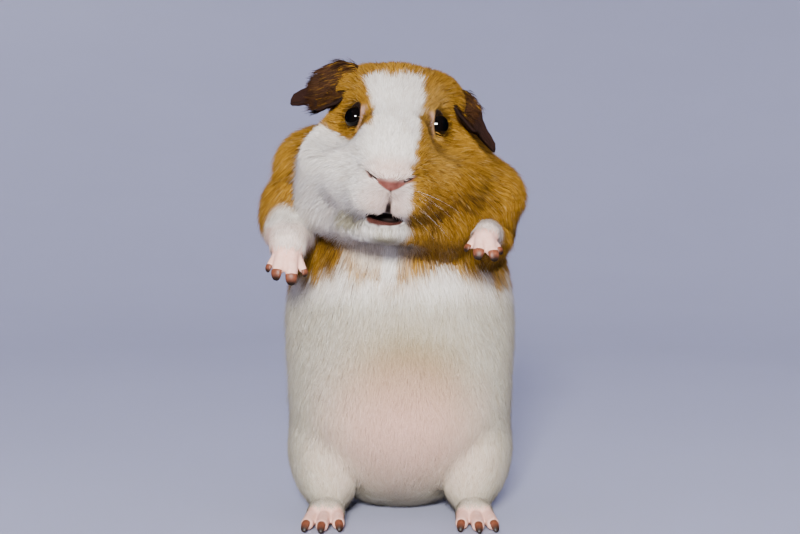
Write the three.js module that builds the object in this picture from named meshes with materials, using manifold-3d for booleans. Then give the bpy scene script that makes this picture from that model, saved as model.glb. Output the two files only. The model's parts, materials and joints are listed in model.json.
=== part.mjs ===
// A guinea pig sitting up on its haunches, life size, one solid for each named part of the body.
// Millimetres, +Z up. The animal faces -Y and its left side is +X. The solids run out to the
// tips of the coat, so the skin lies inside them.
import * as THREE from "three";
import { mergeVertices } from "three/addons/utils/BufferGeometryUtils.js";
import Module from "manifold-3d";

const wasm = await Module();
wasm.setup();

// ---- driving dimensions ----
const eyeLevel = 162.4; // height of the line between the eyes above the floor
const eyeForward = 44; // how far that line lies in front of the body's middle
const eyeSpacing = 29; // between the eyeballs' centres
const eyeRadius = 5.3;
const eyeDepth = -0.5; // of the eyeballs' centres behind that line
const headSway = -1.4; // the head's middle, a little to the right of the body's
const headRoll = 5.5; // degrees, the crown leaning to the left side
const coatGap = 0.3; // clearance between neighbouring solids
const limbClearance = 0.4; // the same, between the limbs and the trunk
const faceCell = 5.3;
const headCell = 9; // facet sizes of the wrapped surfaces
const trunkCell = 11;
const limbCell = 6;
const thighCell = 10;
const footCell = 3.0;
const hindFootCell = 3.7;
const toeTaper = 0.92; // a toe's end for its root
const hindToeThickness = 2.9;
const clawGap = 0.8; // between a toe's end and its claw
const clawShape = { fore: 0.95, hind: 1.15, across: 0.7, up: 0.46 }; // for the toe's thickness
const huge = 400; // side of the blocks that cut the body into its parts

const vec = (x, y, z) => new THREE.Vector3(x, y, z);
const degrees = THREE.MathUtils.degToRad;

// The head has its own frame: origin between the eyes, turned by the roll.
const headFrame = new THREE.Matrix4()
  .makeRotationY(degrees(headRoll))
  .setPosition(headSway, -eyeForward, eyeLevel);
const bodyFrame = new THREE.Matrix4();
const inHead = (x, y, z) => vec(x, y, z).applyMatrix4(headFrame);

// ---- forms: rounded volumes that blend into one surface ----

// An ellipsoid at a place in a frame, tipped about its X axis, as a distance from its surface.
function ball(frame, [x, y, z], [a, b, c], tip = 0, blend = 8) {
  const place = new THREE.Matrix4()
    .makeRotationX(degrees(tip))
    .setPosition(x, y, z);
  const toLocal = frame.clone().multiply(place).invert();
  const local = vec(0, 0, 0);
  return {
    blend,
    distance(point) {
      local.copy(point).applyMatrix4(toLocal);
      const { x: u, y: v, z: w } = local;
      const k0 = Math.hypot(u / a, v / b, w / c);
      const k1 = Math.hypot(u / (a * a), v / (b * b), w / (c * c));
      return k1 < 1e-9 ? -Math.min(a, b, c) : (k0 * (k0 - 1)) / k1;
    },
  };
}

// A pair of ellipsoids, one on each side of the middle.
const pair = (frame, [x, y, z], radii, tip, blend) =>
  [x, -x].map((side) => ball(frame, [side, y, z], radii, tip, blend));

// A tapered rod with round ends from one point to another.
function rod(start, end, startRadius, endRadius, blend = 3) {
  const along = end.clone().sub(start);
  const offset = vec(0, 0, 0);
  return {
    blend,
    distance(point) {
      offset.copy(point).sub(start);
      const t = THREE.MathUtils.clamp(offset.dot(along) / along.lengthSq(), 0, 1);
      const radius = THREE.MathUtils.lerp(startRadius, endRadius, t);
      return offset.addScaledVector(along, -t).length() - radius;
    },
  };
}

// The field of many forms: negative inside, joined by soft blends.
function joinForms(forms) {
  return (point) => {
    let joined = Infinity;
    for (const form of forms) {
      const next = form.distance(point);
      const reach = Math.max(form.blend - Math.abs(joined - next), 0) / form.blend;
      const dip = joined === Infinity ? 0 : (reach * reach * form.blend) / 4;
      joined = Math.min(joined, next) - dip;
    }
    return joined;
  };
}

// Takes softly bounded hollows out of a field.
function hollowOut(field, hollows) {
  return (point) =>
    hollows.reduce((left, form) => {
      const cut = -form.distance(point);
      const reach = Math.max(form.blend - Math.abs(left - cut), 0) / form.blend;
      return Math.max(left, cut) + (reach * reach * form.blend) / 4;
    }, field(point));
}

// ---- from fields to closed solids ----

function solidOf(geometry) {
  const bare = geometry.clone();
  for (const name of Object.keys(bare.attributes))
    if (name !== "position") bare.deleteAttribute(name);
  const merged = mergeVertices(bare, 1e-4);
  return new wasm.Manifold(
    new wasm.Mesh({
      numProp: 3,
      vertProperties: merged.attributes.position.array,
      triVerts: new Uint32Array(merged.index.array),
    }),
  );
}

function geometryOf(solid) {
  const { vertProperties, triVerts, numProp, numVert } = solid.getMesh();
  const places = new Float32Array(numVert * 3);
  for (let i = 0; i < numVert; i++)
    places.set(vertProperties.subarray(i * numProp, i * numProp + 3), i * 3);
  const geometry = new THREE.BufferGeometry();
  geometry.setAttribute("position", new THREE.BufferAttribute(places, 3));
  geometry.setIndex(new THREE.BufferAttribute(triVerts, 1));
  return geometry;
}

// Moves a point onto the surface of a field by a few steps down its slope.
function settle(point, field, cell) {
  const step = 0.4;
  const slope = vec(0, 0, 0);
  const probe = vec(0, 0, 0);
  for (let round = 0; round < 4; round++) {
    const here = field(point);
    for (const axis of ["x", "y", "z"]) {
      probe.copy(point)[axis] += step;
      const ahead = field(probe);
      probe[axis] -= 2 * step;
      slope[axis] = (ahead - field(probe)) / (2 * step);
    }
    const pace = THREE.MathUtils.clamp(here / Math.max(slope.lengthSq(), 0.2), -cell / 3, cell / 3);
    point.addScaledVector(slope, -pace);
  }
  return point;
}

// Places from low to high, a cell apart, where the cell may change on the way.
function spaced(low, high, cellAt) {
  const places = [low];
  while (places.at(-1) < high) places.push(places.at(-1) + cellAt(places.at(-1)));
  return places;
}

// Wraps a closed surface round the inside of a field, on a grid through the given places.
function wrap(field, [xs, ys, zs]) {
  const [nx, ny, nz] = [xs.length, ys.length, zs.length];
  const strides = [1, nx, nx * ny];
  const gridPoint = (i, j, k) => vec(xs[i], ys[j], zs[k]);
  const values = new Float64Array(nx * ny * nz);
  for (let k = 0; k < nz; k++)
    for (let j = 0; j < ny; j++)
      for (let i = 0; i < nx; i++)
        values[i + nx * (j + ny * k)] = field(gridPoint(i, j, k));

  const corners = [0, 1, 2, 3, 4, 5, 6, 7].map((n) => [n & 1, (n >> 1) & 1, n >> 2]);
  const edges = [];
  corners.forEach((_, n) => [1, 2, 4].forEach((bit) => n & bit || edges.push([n, n | bit])));
  const vertexOf = new Map();
  const places = [];
  for (let k = 0; k < nz - 1; k++)
    for (let j = 0; j < ny - 1; j++)
      for (let i = 0; i < nx - 1; i++) {
        const base = i + nx * (j + ny * k);
        const level = corners.map(([a, b, c]) => values[base + a + nx * (b + ny * c)]);
        if (level.every((v) => v < 0) || level.every((v) => v >= 0)) continue;
        const middle = vec(0, 0, 0);
        let crossings = 0;
        for (const [m, n] of edges) {
          if (level[m] < 0 === level[n] < 0) continue;
          const t = level[m] / (level[m] - level[n]);
          const from = gridPoint(...corners[m].map((c, axis) => c + [i, j, k][axis]));
          const to = gridPoint(...corners[n].map((c, axis) => c + [i, j, k][axis]));
          middle.add(from.lerp(to, t));
          crossings++;
        }
        vertexOf.set(base, places.length);
        places.push(settle(middle.divideScalar(crossings), field, xs[i + 1] - xs[i]));
      }

  const faces = [];
  for (let k = 1; k < nz - 1; k++)
    for (let j = 1; j < ny - 1; j++)
      for (let i = 1; i < nx - 1; i++) {
        const base = i + nx * (j + ny * k);
        strides.forEach((stride, axis) => {
          const inside = values[base] < 0;
          if (inside === values[base + stride] < 0) return;
          const [p, q] = [strides[(axis + 1) % 3], strides[(axis + 2) % 3]];
          const ring = [base - p - q, base - q, base, base - p].map((cell) => vertexOf.get(cell));
          if (!inside) ring.reverse();
          const [a, b, c, d] = ring;
          const shortAC =
            places[a].distanceTo(places[c]) < places[b].distanceTo(places[d]);
          faces.push(...(shortAC ? [a, b, c, a, c, d] : [a, b, d, b, c, d]));
        });
      }
  const geometry = new THREE.BufferGeometry().setFromPoints(places);
  geometry.setIndex(faces);
  return geometry;
}

// The same surface moved out along its normals, as the tool that clears a neighbour's room.
function grown(geometry, distance) {
  const larger = geometry.clone();
  larger.computeVertexNormals();
  const { position, normal } = larger.attributes;
  for (let i = 0; i < position.count; i++)
    position.setXYZ(
      i,
      position.getX(i) + normal.getX(i) * distance,
      position.getY(i) + normal.getY(i) * distance,
      position.getZ(i) + normal.getZ(i) * distance,
    );
  return solidOf(larger);
}

// A block that fills the side of a plane towards which its normal points.
function halfSpace(point, normal, gap = coatGap / 2) {
  const block = new THREE.BoxGeometry(huge, huge, huge);
  block.translate(0, 0, huge / 2 + gap);
  const turn = new THREE.Quaternion().setFromUnitVectors(vec(0, 0, 1), normal.clone().normalize());
  block.applyQuaternion(turn);
  block.translate(point.x, point.y, point.z);
  return solidOf(block);
}

const floorSide = halfSpace(vec(0, 0, 0), vec(0, 0, 1), 0);

// Cuts a solid at a plane into the half ahead of its normal and the half behind it.
function part(solid, point, normal) {
  const ahead = solid.intersect(halfSpace(point, normal));
  const behind = solid.intersect(halfSpace(point, normal.clone().negate()));
  return [ahead, behind];
}

// A sheet of the given thickness over a grid of points, closed round its border.
function thickSheet(pointAt, rows, columns, thicknessAt) {
  const grid = [];
  for (let r = 0; r <= rows; r++)
    for (let c = 0; c <= columns; c++) grid.push(pointAt(r / rows, c / columns));
  const middle = new THREE.BufferGeometry().setFromPoints(grid);
  const at = (r, c) => r * (columns + 1) + c;
  const upper = [];
  for (let r = 0; r < rows; r++)
    for (let c = 0; c < columns; c++)
      upper.push(at(r, c), at(r + 1, c), at(r + 1, c + 1), at(r, c), at(r + 1, c + 1), at(r, c + 1));
  middle.setIndex(upper);
  middle.computeVertexNormals();
  const { normal } = middle.attributes;
  const places = [1, -1].flatMap((side) =>
    grid.map((point, i) => {
      const half = (side * thicknessAt(Math.floor(i / (columns + 1)) / rows)) / 2;
      return point.clone().add(vec(normal.getX(i), normal.getY(i), normal.getZ(i)).multiplyScalar(half));
    }),
  );
  const count = grid.length;
  const faces = [...upper];
  for (let i = 0; i < upper.length; i += 3)
    faces.push(upper[i] + count, upper[i + 2] + count, upper[i + 1] + count);
  const border = [];
  for (let c = 0; c < columns; c++) border.push([at(0, c + 1), at(0, c)]);
  for (let r = 0; r < rows; r++) border.push([at(r, 0), at(r + 1, 0)]);
  for (let c = 0; c < columns; c++) border.push([at(rows, c), at(rows, c + 1)]);
  for (let r = rows; r > 0; r--) border.push([at(r, columns), at(r - 1, columns)]);
  for (const [a, b] of border) faces.push(b, a, a + count, b, a + count, b + count);
  const geometry = new THREE.BufferGeometry().setFromPoints(places);
  geometry.setIndex(faces);
  return geometry;
}

// ---- materials ----
const coat = (color) => new THREE.MeshStandardMaterial({ color, roughness: 0.85, metalness: 0 });
const whiteCoat = coat(0xd9d2cc);
const orangeCoat = coat(0xb98432);
const bareSkin = new THREE.MeshStandardMaterial({ color: 0xc98a78, roughness: 0.6, metalness: 0 });
const earSkin = new THREE.MeshStandardMaterial({ color: 0x4a2a1c, roughness: 0.6, metalness: 0 });
const eyeGloss = new THREE.MeshStandardMaterial({ color: 0x0a0c0d, roughness: 0.05, metalness: 0 });
const clawHorn = new THREE.MeshStandardMaterial({ color: 0x7a4a38, roughness: 0.4, metalness: 0 });

const animal = new THREE.Group();

function addPart(name, solid, material) {
  const mesh = new THREE.Mesh(geometryOf(solid), material);
  mesh.name = name;
  animal.add(mesh);
}

// ---- head, neck and trunk as one coat surface ----
const headForms = [
  ball(headFrame, [0, 17, 0.6], [26, 26, 25.2]), // cranium
  ...pair(headFrame, [15.5, 22, 11], [12, 11, 11.5], 0, 8), // roots of the ears
  ball(headFrame, [0, -10, -8], [16, 29, 14.5], 34, 10), // bridge of the nose
  ball(headFrame, [0, -20, -25], [14.5, 15, 14], 0, 8), // muzzle
  ...pair(headFrame, [7, -23, -30], [8.5, 9.5, 8.5], 0, 5), // upper lips
  ball(headFrame, [0, -29, -23.5], [8.5, 6, 6.5], 0, 5), // nose
  ball(headFrame, [0, -15, -40], [11, 13, 8.5], 0, 5), // chin
  ...pair(headFrame, [11, -9, -38], [11, 13, 10], 0, 8), // from the chin into the jowls
  ...pair(headFrame, [13, -7, -23], [12.5, 18.5, 13], 0, 9), // from the muzzle into the cheeks
  ...pair(headFrame, [21, 6, -18], [16.5, 23, 20], 0, 10), // cheeks
  ball(headFrame, [-20, 12, -32], [18, 20, 16], 0, 10), // right jowl
  ball(headFrame, [20, 9, -34], [18, 21, 16], 0, 10), // left jowl, fuller
];
const orbits = [
  ...pair(headFrame, [27, -8, -0.5], [9, 13, 9], 0, 8),
  ...pair(headFrame, [20.5, -13, -4], [4.6, 8, 6.5], 0, 5), // the corner of the eye by the nose
];

const trunkForms = [
  ball(bodyFrame, [0, 5, 153], [29, 27, 25], 0, 18), // nape
  ball(bodyFrame, [0, 0, 136], [39, 34, 29], 0, 14), // neck
  ball(bodyFrame, [-33, -10, 146], [21, 22, 18], 0, 8), // roll of fur below the right ear
  ball(bodyFrame, [30, -18, 133.5], [23, 26, 18.5], 0, 10), // full left cheek
  ball(bodyFrame, [24, -4, 150], [14, 16, 13]), // fold of the neck under the left ear
  ball(bodyFrame, [0, 2, 104], [45, 38, 36], 0, 16), // chest
  ball(bodyFrame, [0, 4, 78], [50, 42, 40], 0, 16), // ribs
  ball(bodyFrame, [0, -1, 48], [47, 44, 40], 0, 16), // belly
  ball(bodyFrame, [0, 13, 31], [43, 39, 32], 0, 16), // rump
];
const bodyField = hollowOut(joinForms([...headForms, ...trunkForms]), orbits);
const bodyGrid = [
  spaced(-72, 72, (x) => (Math.abs(x + 1) < 18 ? faceCell : headCell)),
  spaced(-92, 70, (y) => (y < -46 ? faceCell : trunkCell)),
  spaced(-14, 200, (z) => (z > 112 ? faceCell : trunkCell)),
];
const body = solidOf(wrap(bodyField, bodyGrid)).intersect(floorSide);
const clearBody = grown(geometryOf(body), limbClearance);

const headPlane = [vec(0, -14, 142), vec(0, -0.6, 0.8)];
const neckPlane = [vec(0, 0, 118), vec(0, -0.3, 0.95)];
const chestPlane = [vec(0, 0, 82), vec(0, 0, 1)];
const rumpPlane = [vec(0, 0, 44), vec(0, -0.25, 1)];

const [wholeHead, belowHead] = part(body, ...headPlane);
const [neck, belowNeck] = part(belowHead, ...neckPlane);
const [chest, belowChest] = part(belowNeck, ...chestPlane);
const [abdomen, rump] = part(belowChest, ...rumpPlane);
addPart("neck", neck, orangeCoat);
addPart("chest", chest, orangeCoat);
addPart("abdomen", abdomen, whiteCoat);
addPart("rump", rump, whiteCoat);

// ---- eyes ----
let head = wholeHead;
for (const [side, name] of [[-1, "eye_right"], [1, "eye_left"]]) {
  const { x, y, z } = inHead((side * eyeSpacing) / 2, eyeDepth, 0);
  const sphere = (radius) => solidOf(new THREE.SphereGeometry(radius, 12, 7).translate(x, y, z));
  addPart(name, sphere(eyeRadius), eyeGloss);
  head = head.subtract(sphere(eyeRadius + 0.5));
}

// ---- nose pad, mouth and lower jaw ----

// A rounded triangle, wide at the top, as a prism reaching forward out of the muzzle.
function nosePrism(width, height, back) {
  const outline = new THREE.Shape();
  outline.moveTo(-width / 2, height * 0.42);
  outline.quadraticCurveTo(0, height * 0.25, width / 2, height * 0.42);
  outline.quadraticCurveTo(width * 0.3, -height * 0.4, 0, -height * 0.58);
  outline.quadraticCurveTo(-width * 0.3, -height * 0.4, -width / 2, height * 0.42);
  const prism = new THREE.ExtrudeGeometry(outline, { depth: 30, bevelEnabled: false, curveSegments: 5 });
  prism.rotateX(Math.PI / 2).translate(0, -back, -24.2);
  return solidOf(prism.applyMatrix4(headFrame));
}
const noseWidth = 16.5;
const noseHeight = 9;
addPart("nose", head.intersect(nosePrism(noseWidth, noseHeight, 24)), bareSkin);
head = head.subtract(nosePrism(noseWidth + 1, noseHeight + 0.8, 24 - coatGap));

// A block of the given reach from its upper front edge, in the head's frame.
function headBlock(width, depth, height, [x, y, z]) {
  const block = new THREE.BoxGeometry(width, depth, height);
  return solidOf(block.translate(x, y + depth / 2, z - height / 2).applyMatrix4(headFrame));
}
const lipLine = -36.5;
const jawBack = -9;
addPart("lower_jaw", head.intersect(headBlock(22, 60, 40, [0, jawBack - 60, lipLine])), whiteCoat);
head = head.subtract(headBlock(22.8, 60.3, 40.3, [0, jawBack - 60, lipLine + coatGap]));
head = head.subtract(headBlock(11, 30, 3, [0, -48, lipLine + 2]));
addPart("head", head, whiteCoat);

// ---- ears ----
// The rim's distance above and below the line from the ear's root to its tip, at places along it.
const earLength = 27.6;
const earUpperRim = [[0, 11], [0.2, 13.2], [0.42, 10.8], [0.58, 5.8], [0.76, 3.8], [0.94, 3], [1, 1.3]];
const earLowerRim = [[0, -7], [0.2, -9.7], [0.46, -11], [0.62, -5.4], [0.8, -4.5], [0.94, -3.2], [1, -1.3]];
const earCup = 4; // how far the rims stand forward of the middle
const earFoldBack = 3; // how far the tip bends back

function rimAt(rim, along) {
  const next = Math.max(1, rim.findIndex(([place]) => place >= along));
  const [[a, low], [b, high]] = [rim[next - 1], rim[next]];
  return THREE.MathUtils.lerp(low, high, THREE.MathUtils.smoothstep(along, a, b));
}

function ear(name, root, toTip, toUpperRim, side) {
  const along = vec(...toTip).normalize();
  const across = vec(...toUpperRim);
  across.addScaledVector(along, -across.dot(along)).normalize();
  const front = vec(0, 0, 0).crossVectors(across, along).multiplyScalar(-side);
  const pointAt = (t, s) => {
    const low = rimAt(earLowerRim, t);
    const high = rimAt(earUpperRim, t);
    const lift = earCup * (2 * s - 1) ** 2 * Math.min(1, (high - low) / 16) - earFoldBack * t * t;
    return vec(...root)
      .addScaledVector(along, earLength * t)
      .addScaledVector(across, THREE.MathUtils.lerp(low, high, s))
      .addScaledVector(front, lift);
  };
  const order = side < 0 ? pointAt : (t, s) => pointAt(t, 1 - s);
  const sheet = thickSheet(order, 8, 4, (t) => THREE.MathUtils.lerp(2, 1.3, t));
  const placed = solidOf(sheet.applyMatrix4(headFrame));
  addPart(name, placed.subtract(grown(geometryOf(wholeHead), 0.4)), earSkin);
}
ear("ear_right", [-19, 13, 12], [-0.96, 0.28, -0.2], [-0.19, 0.6, 0.78], -1);
ear("ear_left", [20, 14, 10], [0.82, 0.18, -0.55], [0.21, 0.88, 0.42], 1);

// ---- limbs ----

// A small curved cone, broader than high, from its root along a direction, bending down at its end.
function claw(name, root, direction, length, thickness) {
  const along = direction.clone().normalize();
  const side = vec(1, 0, 0).addScaledVector(along, -along.x).normalize();
  const up = vec(0, 0, 0).crossVectors(side, along);
  const spine = new THREE.QuadraticBezierCurve3(
    root,
    root.clone().addScaledVector(along, length * 0.6).addScaledVector(up, length * 0.12),
    root.clone().addScaledVector(along, length),
  );
  const rings = 3;
  const sides = 5;
  const places = [root.clone()];
  for (let r = 0; r < rings; r++)
    for (let s = 0; s < sides; s++) {
      const angle = (2 * Math.PI * s) / sides;
      const reach = thickness * Math.cos((Math.PI / 2) * (r / rings));
      places.push(
        spine
          .getPoint(r / rings)
          .addScaledVector(side, clawShape.across * reach * Math.cos(angle))
          .addScaledVector(up, clawShape.up * reach * Math.sin(angle)),
      );
    }
  places.push(spine.getPoint(1));
  const faces = [];
  for (let s = 0; s < sides; s++) {
    const next = (s + 1) % sides;
    faces.push(0, 1 + s, 1 + next);
    for (let r = 0; r < rings - 1; r++) {
      const [a, b] = [1 + r * sides + s, 1 + r * sides + next];
      faces.push(a, b + sides, b, a, a + sides, b + sides);
    }
    const last = 1 + (rings - 1) * sides;
    faces.push(last + s, places.length - 1, last + next);
  }
  const geometry = new THREE.BufferGeometry().setFromPoints(places);
  geometry.setIndex(faces);
  addPart(name, solidOf(geometry), clawHorn);
}

// An even grid round some points, with room for the flesh about them.
function gridRound(points, margin, cell) {
  const { min, max } = new THREE.Box3().setFromPoints(points).expandByScalar(margin);
  return ["x", "y", "z"].map((axis) => spaced(min[axis], max[axis], () => cell));
}

// A limb's toes: rods from the knuckles to their ends, and a claw on each.
const toeForms = (toes) =>
  toes.map(([knuckle, end, thickness]) => rod(knuckle, end, thickness, thickness * toeTaper, 2));

function addClaws(prefix, toes, clawLength, droop) {
  toes.forEach(([knuckle, end, thickness], i) => {
    const along = end.clone().sub(knuckle).normalize();
    const root = end.clone().addScaledVector(along, thickness * toeTaper + clawGap);
    claw(`${prefix}_${i + 1}`, root, along.add(vec(0, 0, -droop)), clawLength * thickness, thickness);
  });
}

// A foreleg: upper arm, forearm and a hanging paw with four toes.
function foreleg(side, { shoulder, shoulderRadii, elbow, wrist, knuckles, radii, toes, wristAim }) {
  const [atElbow, atWrist, atKnuckles] = radii;
  const forms = [
    ball(bodyFrame, shoulder, shoulderRadii, 0, 8),
    rod(vec(...elbow), vec(...wrist), atElbow, atWrist, 8),
    rod(vec(...wrist), vec(...knuckles), atWrist, atKnuckles, 4),
    ...toeForms(toes),
  ];
  const ends = toes.map(([, end]) => end);
  const armGrid = gridRound([vec(...shoulder), vec(...elbow), vec(...wrist)], 26, limbCell);
  const wholeArm = solidOf(wrap(joinForms(forms.slice(0, 3)), armGrid)).subtract(clearBody);
  const pawGrid = gridRound([vec(...elbow), vec(...wrist), ...ends], 14, footCell);
  const paw = solidOf(wrap(joinForms(forms.slice(1)), pawGrid)).subtract(clearBody);
  const wristPlane = [vec(...wrist), vec(...wristAim)];
  const [, arm] = part(wholeArm, ...wristPlane);
  const elbowPlane = [vec(...elbow).lerp(vec(...shoulder), 0.25), vec(0, -1, -0.35)];
  const [forearm, upperArm] = part(arm, ...elbowPlane);
  const [forefoot] = part(paw, ...wristPlane);
  addPart(`upper_arm_${side}`, largest(upperArm), orangeCoat);
  addPart(`forearm_${side}`, largest(forearm), whiteCoat);
  addPart(`forefoot_${side}`, largest(forefoot), bareSkin);
  addClaws(`claw_fore_${side}`, toes, clawShape.fore, 0.15);
}

function largest(solid) {
  return solid.decompose().reduce((a, b) => (a.volume() > b.volume() ? a : b));
}

foreleg("right", {
  shoulder: [-44, -17, 127],
  shoulderRadii: [15, 17, 19],
  elbow: [-45.5, -27, 122],
  wrist: [-44.2, -43, 115],
  knuckles: [-44.4, -46.5, 111.6],
  radii: [11, 7.2, 5],
  wristAim: [0, -0.6, -0.8],
  toes: [
    [vec(-48, -46.4, 111), vec(-50.6, -49.2, 106.6), 1.9],
    [vec(-46.2, -48.4, 111.2), vec(-47.6, -51.8, 105.2), 2.7],
    [vec(-42.6, -48.6, 111), vec(-42.5, -52, 103.7), 2.8],
    [vec(-40.8, -46.6, 110.6), vec(-38.2, -49.4, 104.8), 1.8],
  ],
});
foreleg("left", {
  shoulder: [35, -17, 120],
  shoulderRadii: [14, 16, 16],
  elbow: [37, -30, 117],
  wrist: [33.8, -53, 118.8],
  knuckles: [32.5, -57.8, 117],
  radii: [8.5, 4.8, 4.2],
  wristAim: [0, -0.7, -0.7],
  toes: [
    [vec(29.6, -58, 117.4), vec(27, -60.8, 114.6), 1.8],
    [vec(31.2, -59.8, 117.2), vec(30.4, -63.8, 113.2), 2.6],
    [vec(33.8, -59.6, 117), vec(35.2, -63.6, 112.6), 2.6],
    [vec(35, -57.8, 116.8), vec(37.4, -61, 113.6), 1.8],
  ],
});

// A hind leg: thigh along the flank, and a long flat foot on the floor with three toes.
function hindLeg(side, sign) {
  const ankle = vec(27 * sign, 4, 6);
  const toeRoots = [-5, 0, 5].map((across) => vec((30.5 + across) * sign, -38, 4));
  const toeEnds = [-6.4, 0, 6].map((across, i) => vec((31 + across) * sign, [-45, -49, -46][i], 2.9));
  const toes = toeRoots.map((root, i) => [root, toeEnds[i], hindToeThickness]);
  const footForms = [
    rod(ankle, vec(30 * sign, -30, 5), 6.5, 6.2, 4),
    rod(vec(27.5 * sign, -34, 4.4), vec(33 * sign, -34, 4.4), 4.6, 4.6, 5),
    ...toeForms(toes),
  ];
  const thighForms = [
    ball(bodyFrame, [32 * sign, -3, 27], [16.5, 28, 25], 0, 8),
    ball(bodyFrame, [28 * sign, -19, 17], [12, 13, 14], 0, 8), // knee
  ];
  const wrapLeg = (forms, grid) =>
    solidOf(wrap(joinForms(forms), grid)).intersect(floorSide).subtract(clearBody);
  const foot = wrapLeg(footForms, gridRound([ankle, ...toeEnds], 16, hindFootCell));
  const thigh = wrapLeg(thighForms, gridRound([vec(31 * sign, -3, 27)], 46, thighCell));
  const footRoom = grown(geometryOf(foot), 0.5);
  addPart(`thigh_${side}`, largest(thigh.subtract(footRoom)), whiteCoat);
  addPart(`hindfoot_${side}`, largest(foot), bareSkin);
  addClaws(`claw_hind_${side}`, toes, clawShape.hind, 0.1);
}
hindLeg("right", -1);
hindLeg("left", 1);

// ---- the origin at the middle of the base ----
const reach = new THREE.Box3().setFromObject(animal);
animal.position.set(-(reach.min.x + reach.max.x) / 2, -(reach.min.y + reach.max.y) / 2, 0);

export default animal;
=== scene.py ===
# A guinea pig sitting up on its haunches, as a life-size museum model.
# One skin carries the whole body. Fur, eyes, claws and whiskers sit on it as pieces of their own.
# Forms are in millimetres. The animal faces -Y, its left side is +X.
import json
import math
import time
import bpy
import bmesh
import numpy as np
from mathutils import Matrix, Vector
from mathutils.bvhtree import BVHTree
from mathutils.kdtree import KDTree

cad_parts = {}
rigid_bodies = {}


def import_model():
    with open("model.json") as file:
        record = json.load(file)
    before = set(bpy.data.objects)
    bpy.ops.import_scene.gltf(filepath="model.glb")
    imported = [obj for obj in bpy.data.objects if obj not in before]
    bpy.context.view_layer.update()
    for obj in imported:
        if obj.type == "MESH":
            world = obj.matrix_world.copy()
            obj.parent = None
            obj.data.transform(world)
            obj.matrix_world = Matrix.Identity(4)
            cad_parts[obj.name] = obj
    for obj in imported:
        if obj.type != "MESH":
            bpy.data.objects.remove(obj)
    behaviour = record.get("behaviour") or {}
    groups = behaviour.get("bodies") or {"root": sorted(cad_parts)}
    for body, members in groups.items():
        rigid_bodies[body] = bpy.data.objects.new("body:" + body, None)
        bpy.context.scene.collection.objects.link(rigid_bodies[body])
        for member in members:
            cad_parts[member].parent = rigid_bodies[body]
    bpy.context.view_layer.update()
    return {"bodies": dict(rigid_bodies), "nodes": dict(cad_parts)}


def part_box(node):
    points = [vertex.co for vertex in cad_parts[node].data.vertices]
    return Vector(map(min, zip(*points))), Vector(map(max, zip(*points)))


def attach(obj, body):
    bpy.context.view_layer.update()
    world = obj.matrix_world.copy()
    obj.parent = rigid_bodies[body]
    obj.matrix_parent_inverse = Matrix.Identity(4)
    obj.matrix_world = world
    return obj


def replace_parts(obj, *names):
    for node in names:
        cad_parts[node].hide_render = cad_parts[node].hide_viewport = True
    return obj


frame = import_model()
rootBody = list(frame["bodies"])[0]
startTime = time.time()


def report(stage):
    print(f"guinea pig: {stage} ({time.time() - startTime:.0f} s)")


mm = 0.001
dice = np.random.default_rng(20)  # every random draw comes from here

# where the head sits
head = {
    "middle": (-1.4, -44.0, 162.4),  # between the eyes
    "roll": 5.5,  # degrees, the crown leans to the left side
    "eyeSpacing": 29.0,
    "eyeDepth": -0.5,
    "eyeAim": {-1: (-0.86, -0.5, 0.1), 1: (0.9, -0.42, 0.1)},  # which way the right and the left eye look
    "neckPlane": ((0, -14, 142), (0, -0.6, 0.8)),  # where the head ends on the body, and which way is up
}
roll = math.radians(head["roll"])
headTurn = np.array([[math.cos(roll), 0, math.sin(roll)], [0, 1, 0], [-math.sin(roll), 0, math.cos(roll)]])
headPlace = np.array(head["middle"])


def fromHead(places):
    return np.asarray(places, float) @ headTurn.T + headPlace


def toHead(places):
    return (places - headPlace) @ headTurn


def overNeck(points):
    # how far points are on the head's side of the plane where it ends
    place, up = head["neckPlane"]
    return (points - place) @ np.array(up)


def eyeAt(side):
    return np.array((side * head["eyeSpacing"] / 2, head["eyeDepth"], 0)), np.array(head["eyeAim"][side])


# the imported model's origin is moved, so the eyes say by how much
eyeCentres = [sum(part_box(name), Vector()) / 2 for name in ("eye_right", "eye_left")]
eyeMiddle = fromHead([0, head["eyeDepth"], 0])
bodyShift = np.array((eyeCentres[0] + eyeCentres[1]) / 2) / mm - eyeMiddle


def toWorld(places):
    return (np.asarray(places) + bodyShift) * mm


def unit(vectors):
    vectors = np.asarray(vectors, float)
    return vectors / np.maximum(np.linalg.norm(vectors, axis=-1, keepdims=True), 1e-9)


# forms that blend into flesh, each a distance and how softly it blends
def placed(space, place):
    return fromHead(place) if space == "head" else np.array(place, float)


def ball(space, centre, radii, blend=8.0, tip=0.0):
    tilt = math.radians(tip)
    turn = np.array([[1, 0, 0], [0, math.cos(tilt), -math.sin(tilt)], [0, math.sin(tilt), math.cos(tilt)]])
    turn = headTurn @ turn if space == "head" else turn
    place, radii = placed(space, centre), np.array(radii, float)

    def distance(points):
        local = (points - place) @ turn
        near = np.linalg.norm(local / radii, axis=1)
        steep = np.linalg.norm(local / radii**2, axis=1)
        return near * (near - 1) / np.maximum(steep, 1e-6)

    return distance, blend


def pair(space, centre, radii, blend=8.0):
    x, y, z = centre
    return [ball(space, (side * x, y, z), radii, blend) for side in (1, -1)]


def rod(space, start, end, startRadius, endRadius, blend):
    start, end = placed(space, start), placed(space, end)
    along = end - start

    def distance(points):
        offset = points - start
        t = np.clip(offset @ along / (along @ along), 0, 1)
        gap = np.linalg.norm(offset - t[:, None] * along, axis=1)
        return gap - (startRadius + (endRadius - startRadius) * t)

    return distance, blend


def ring(centre, axis, radius, thickness, blend):
    centre, axis = fromHead(centre), unit(headTurn @ axis)

    def distance(points):
        offset = points - centre
        height = offset @ axis
        out = np.linalg.norm(offset - height[:, None] * axis, axis=1) - radius
        return np.hypot(out, height) - thickness

    return distance, blend


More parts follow.
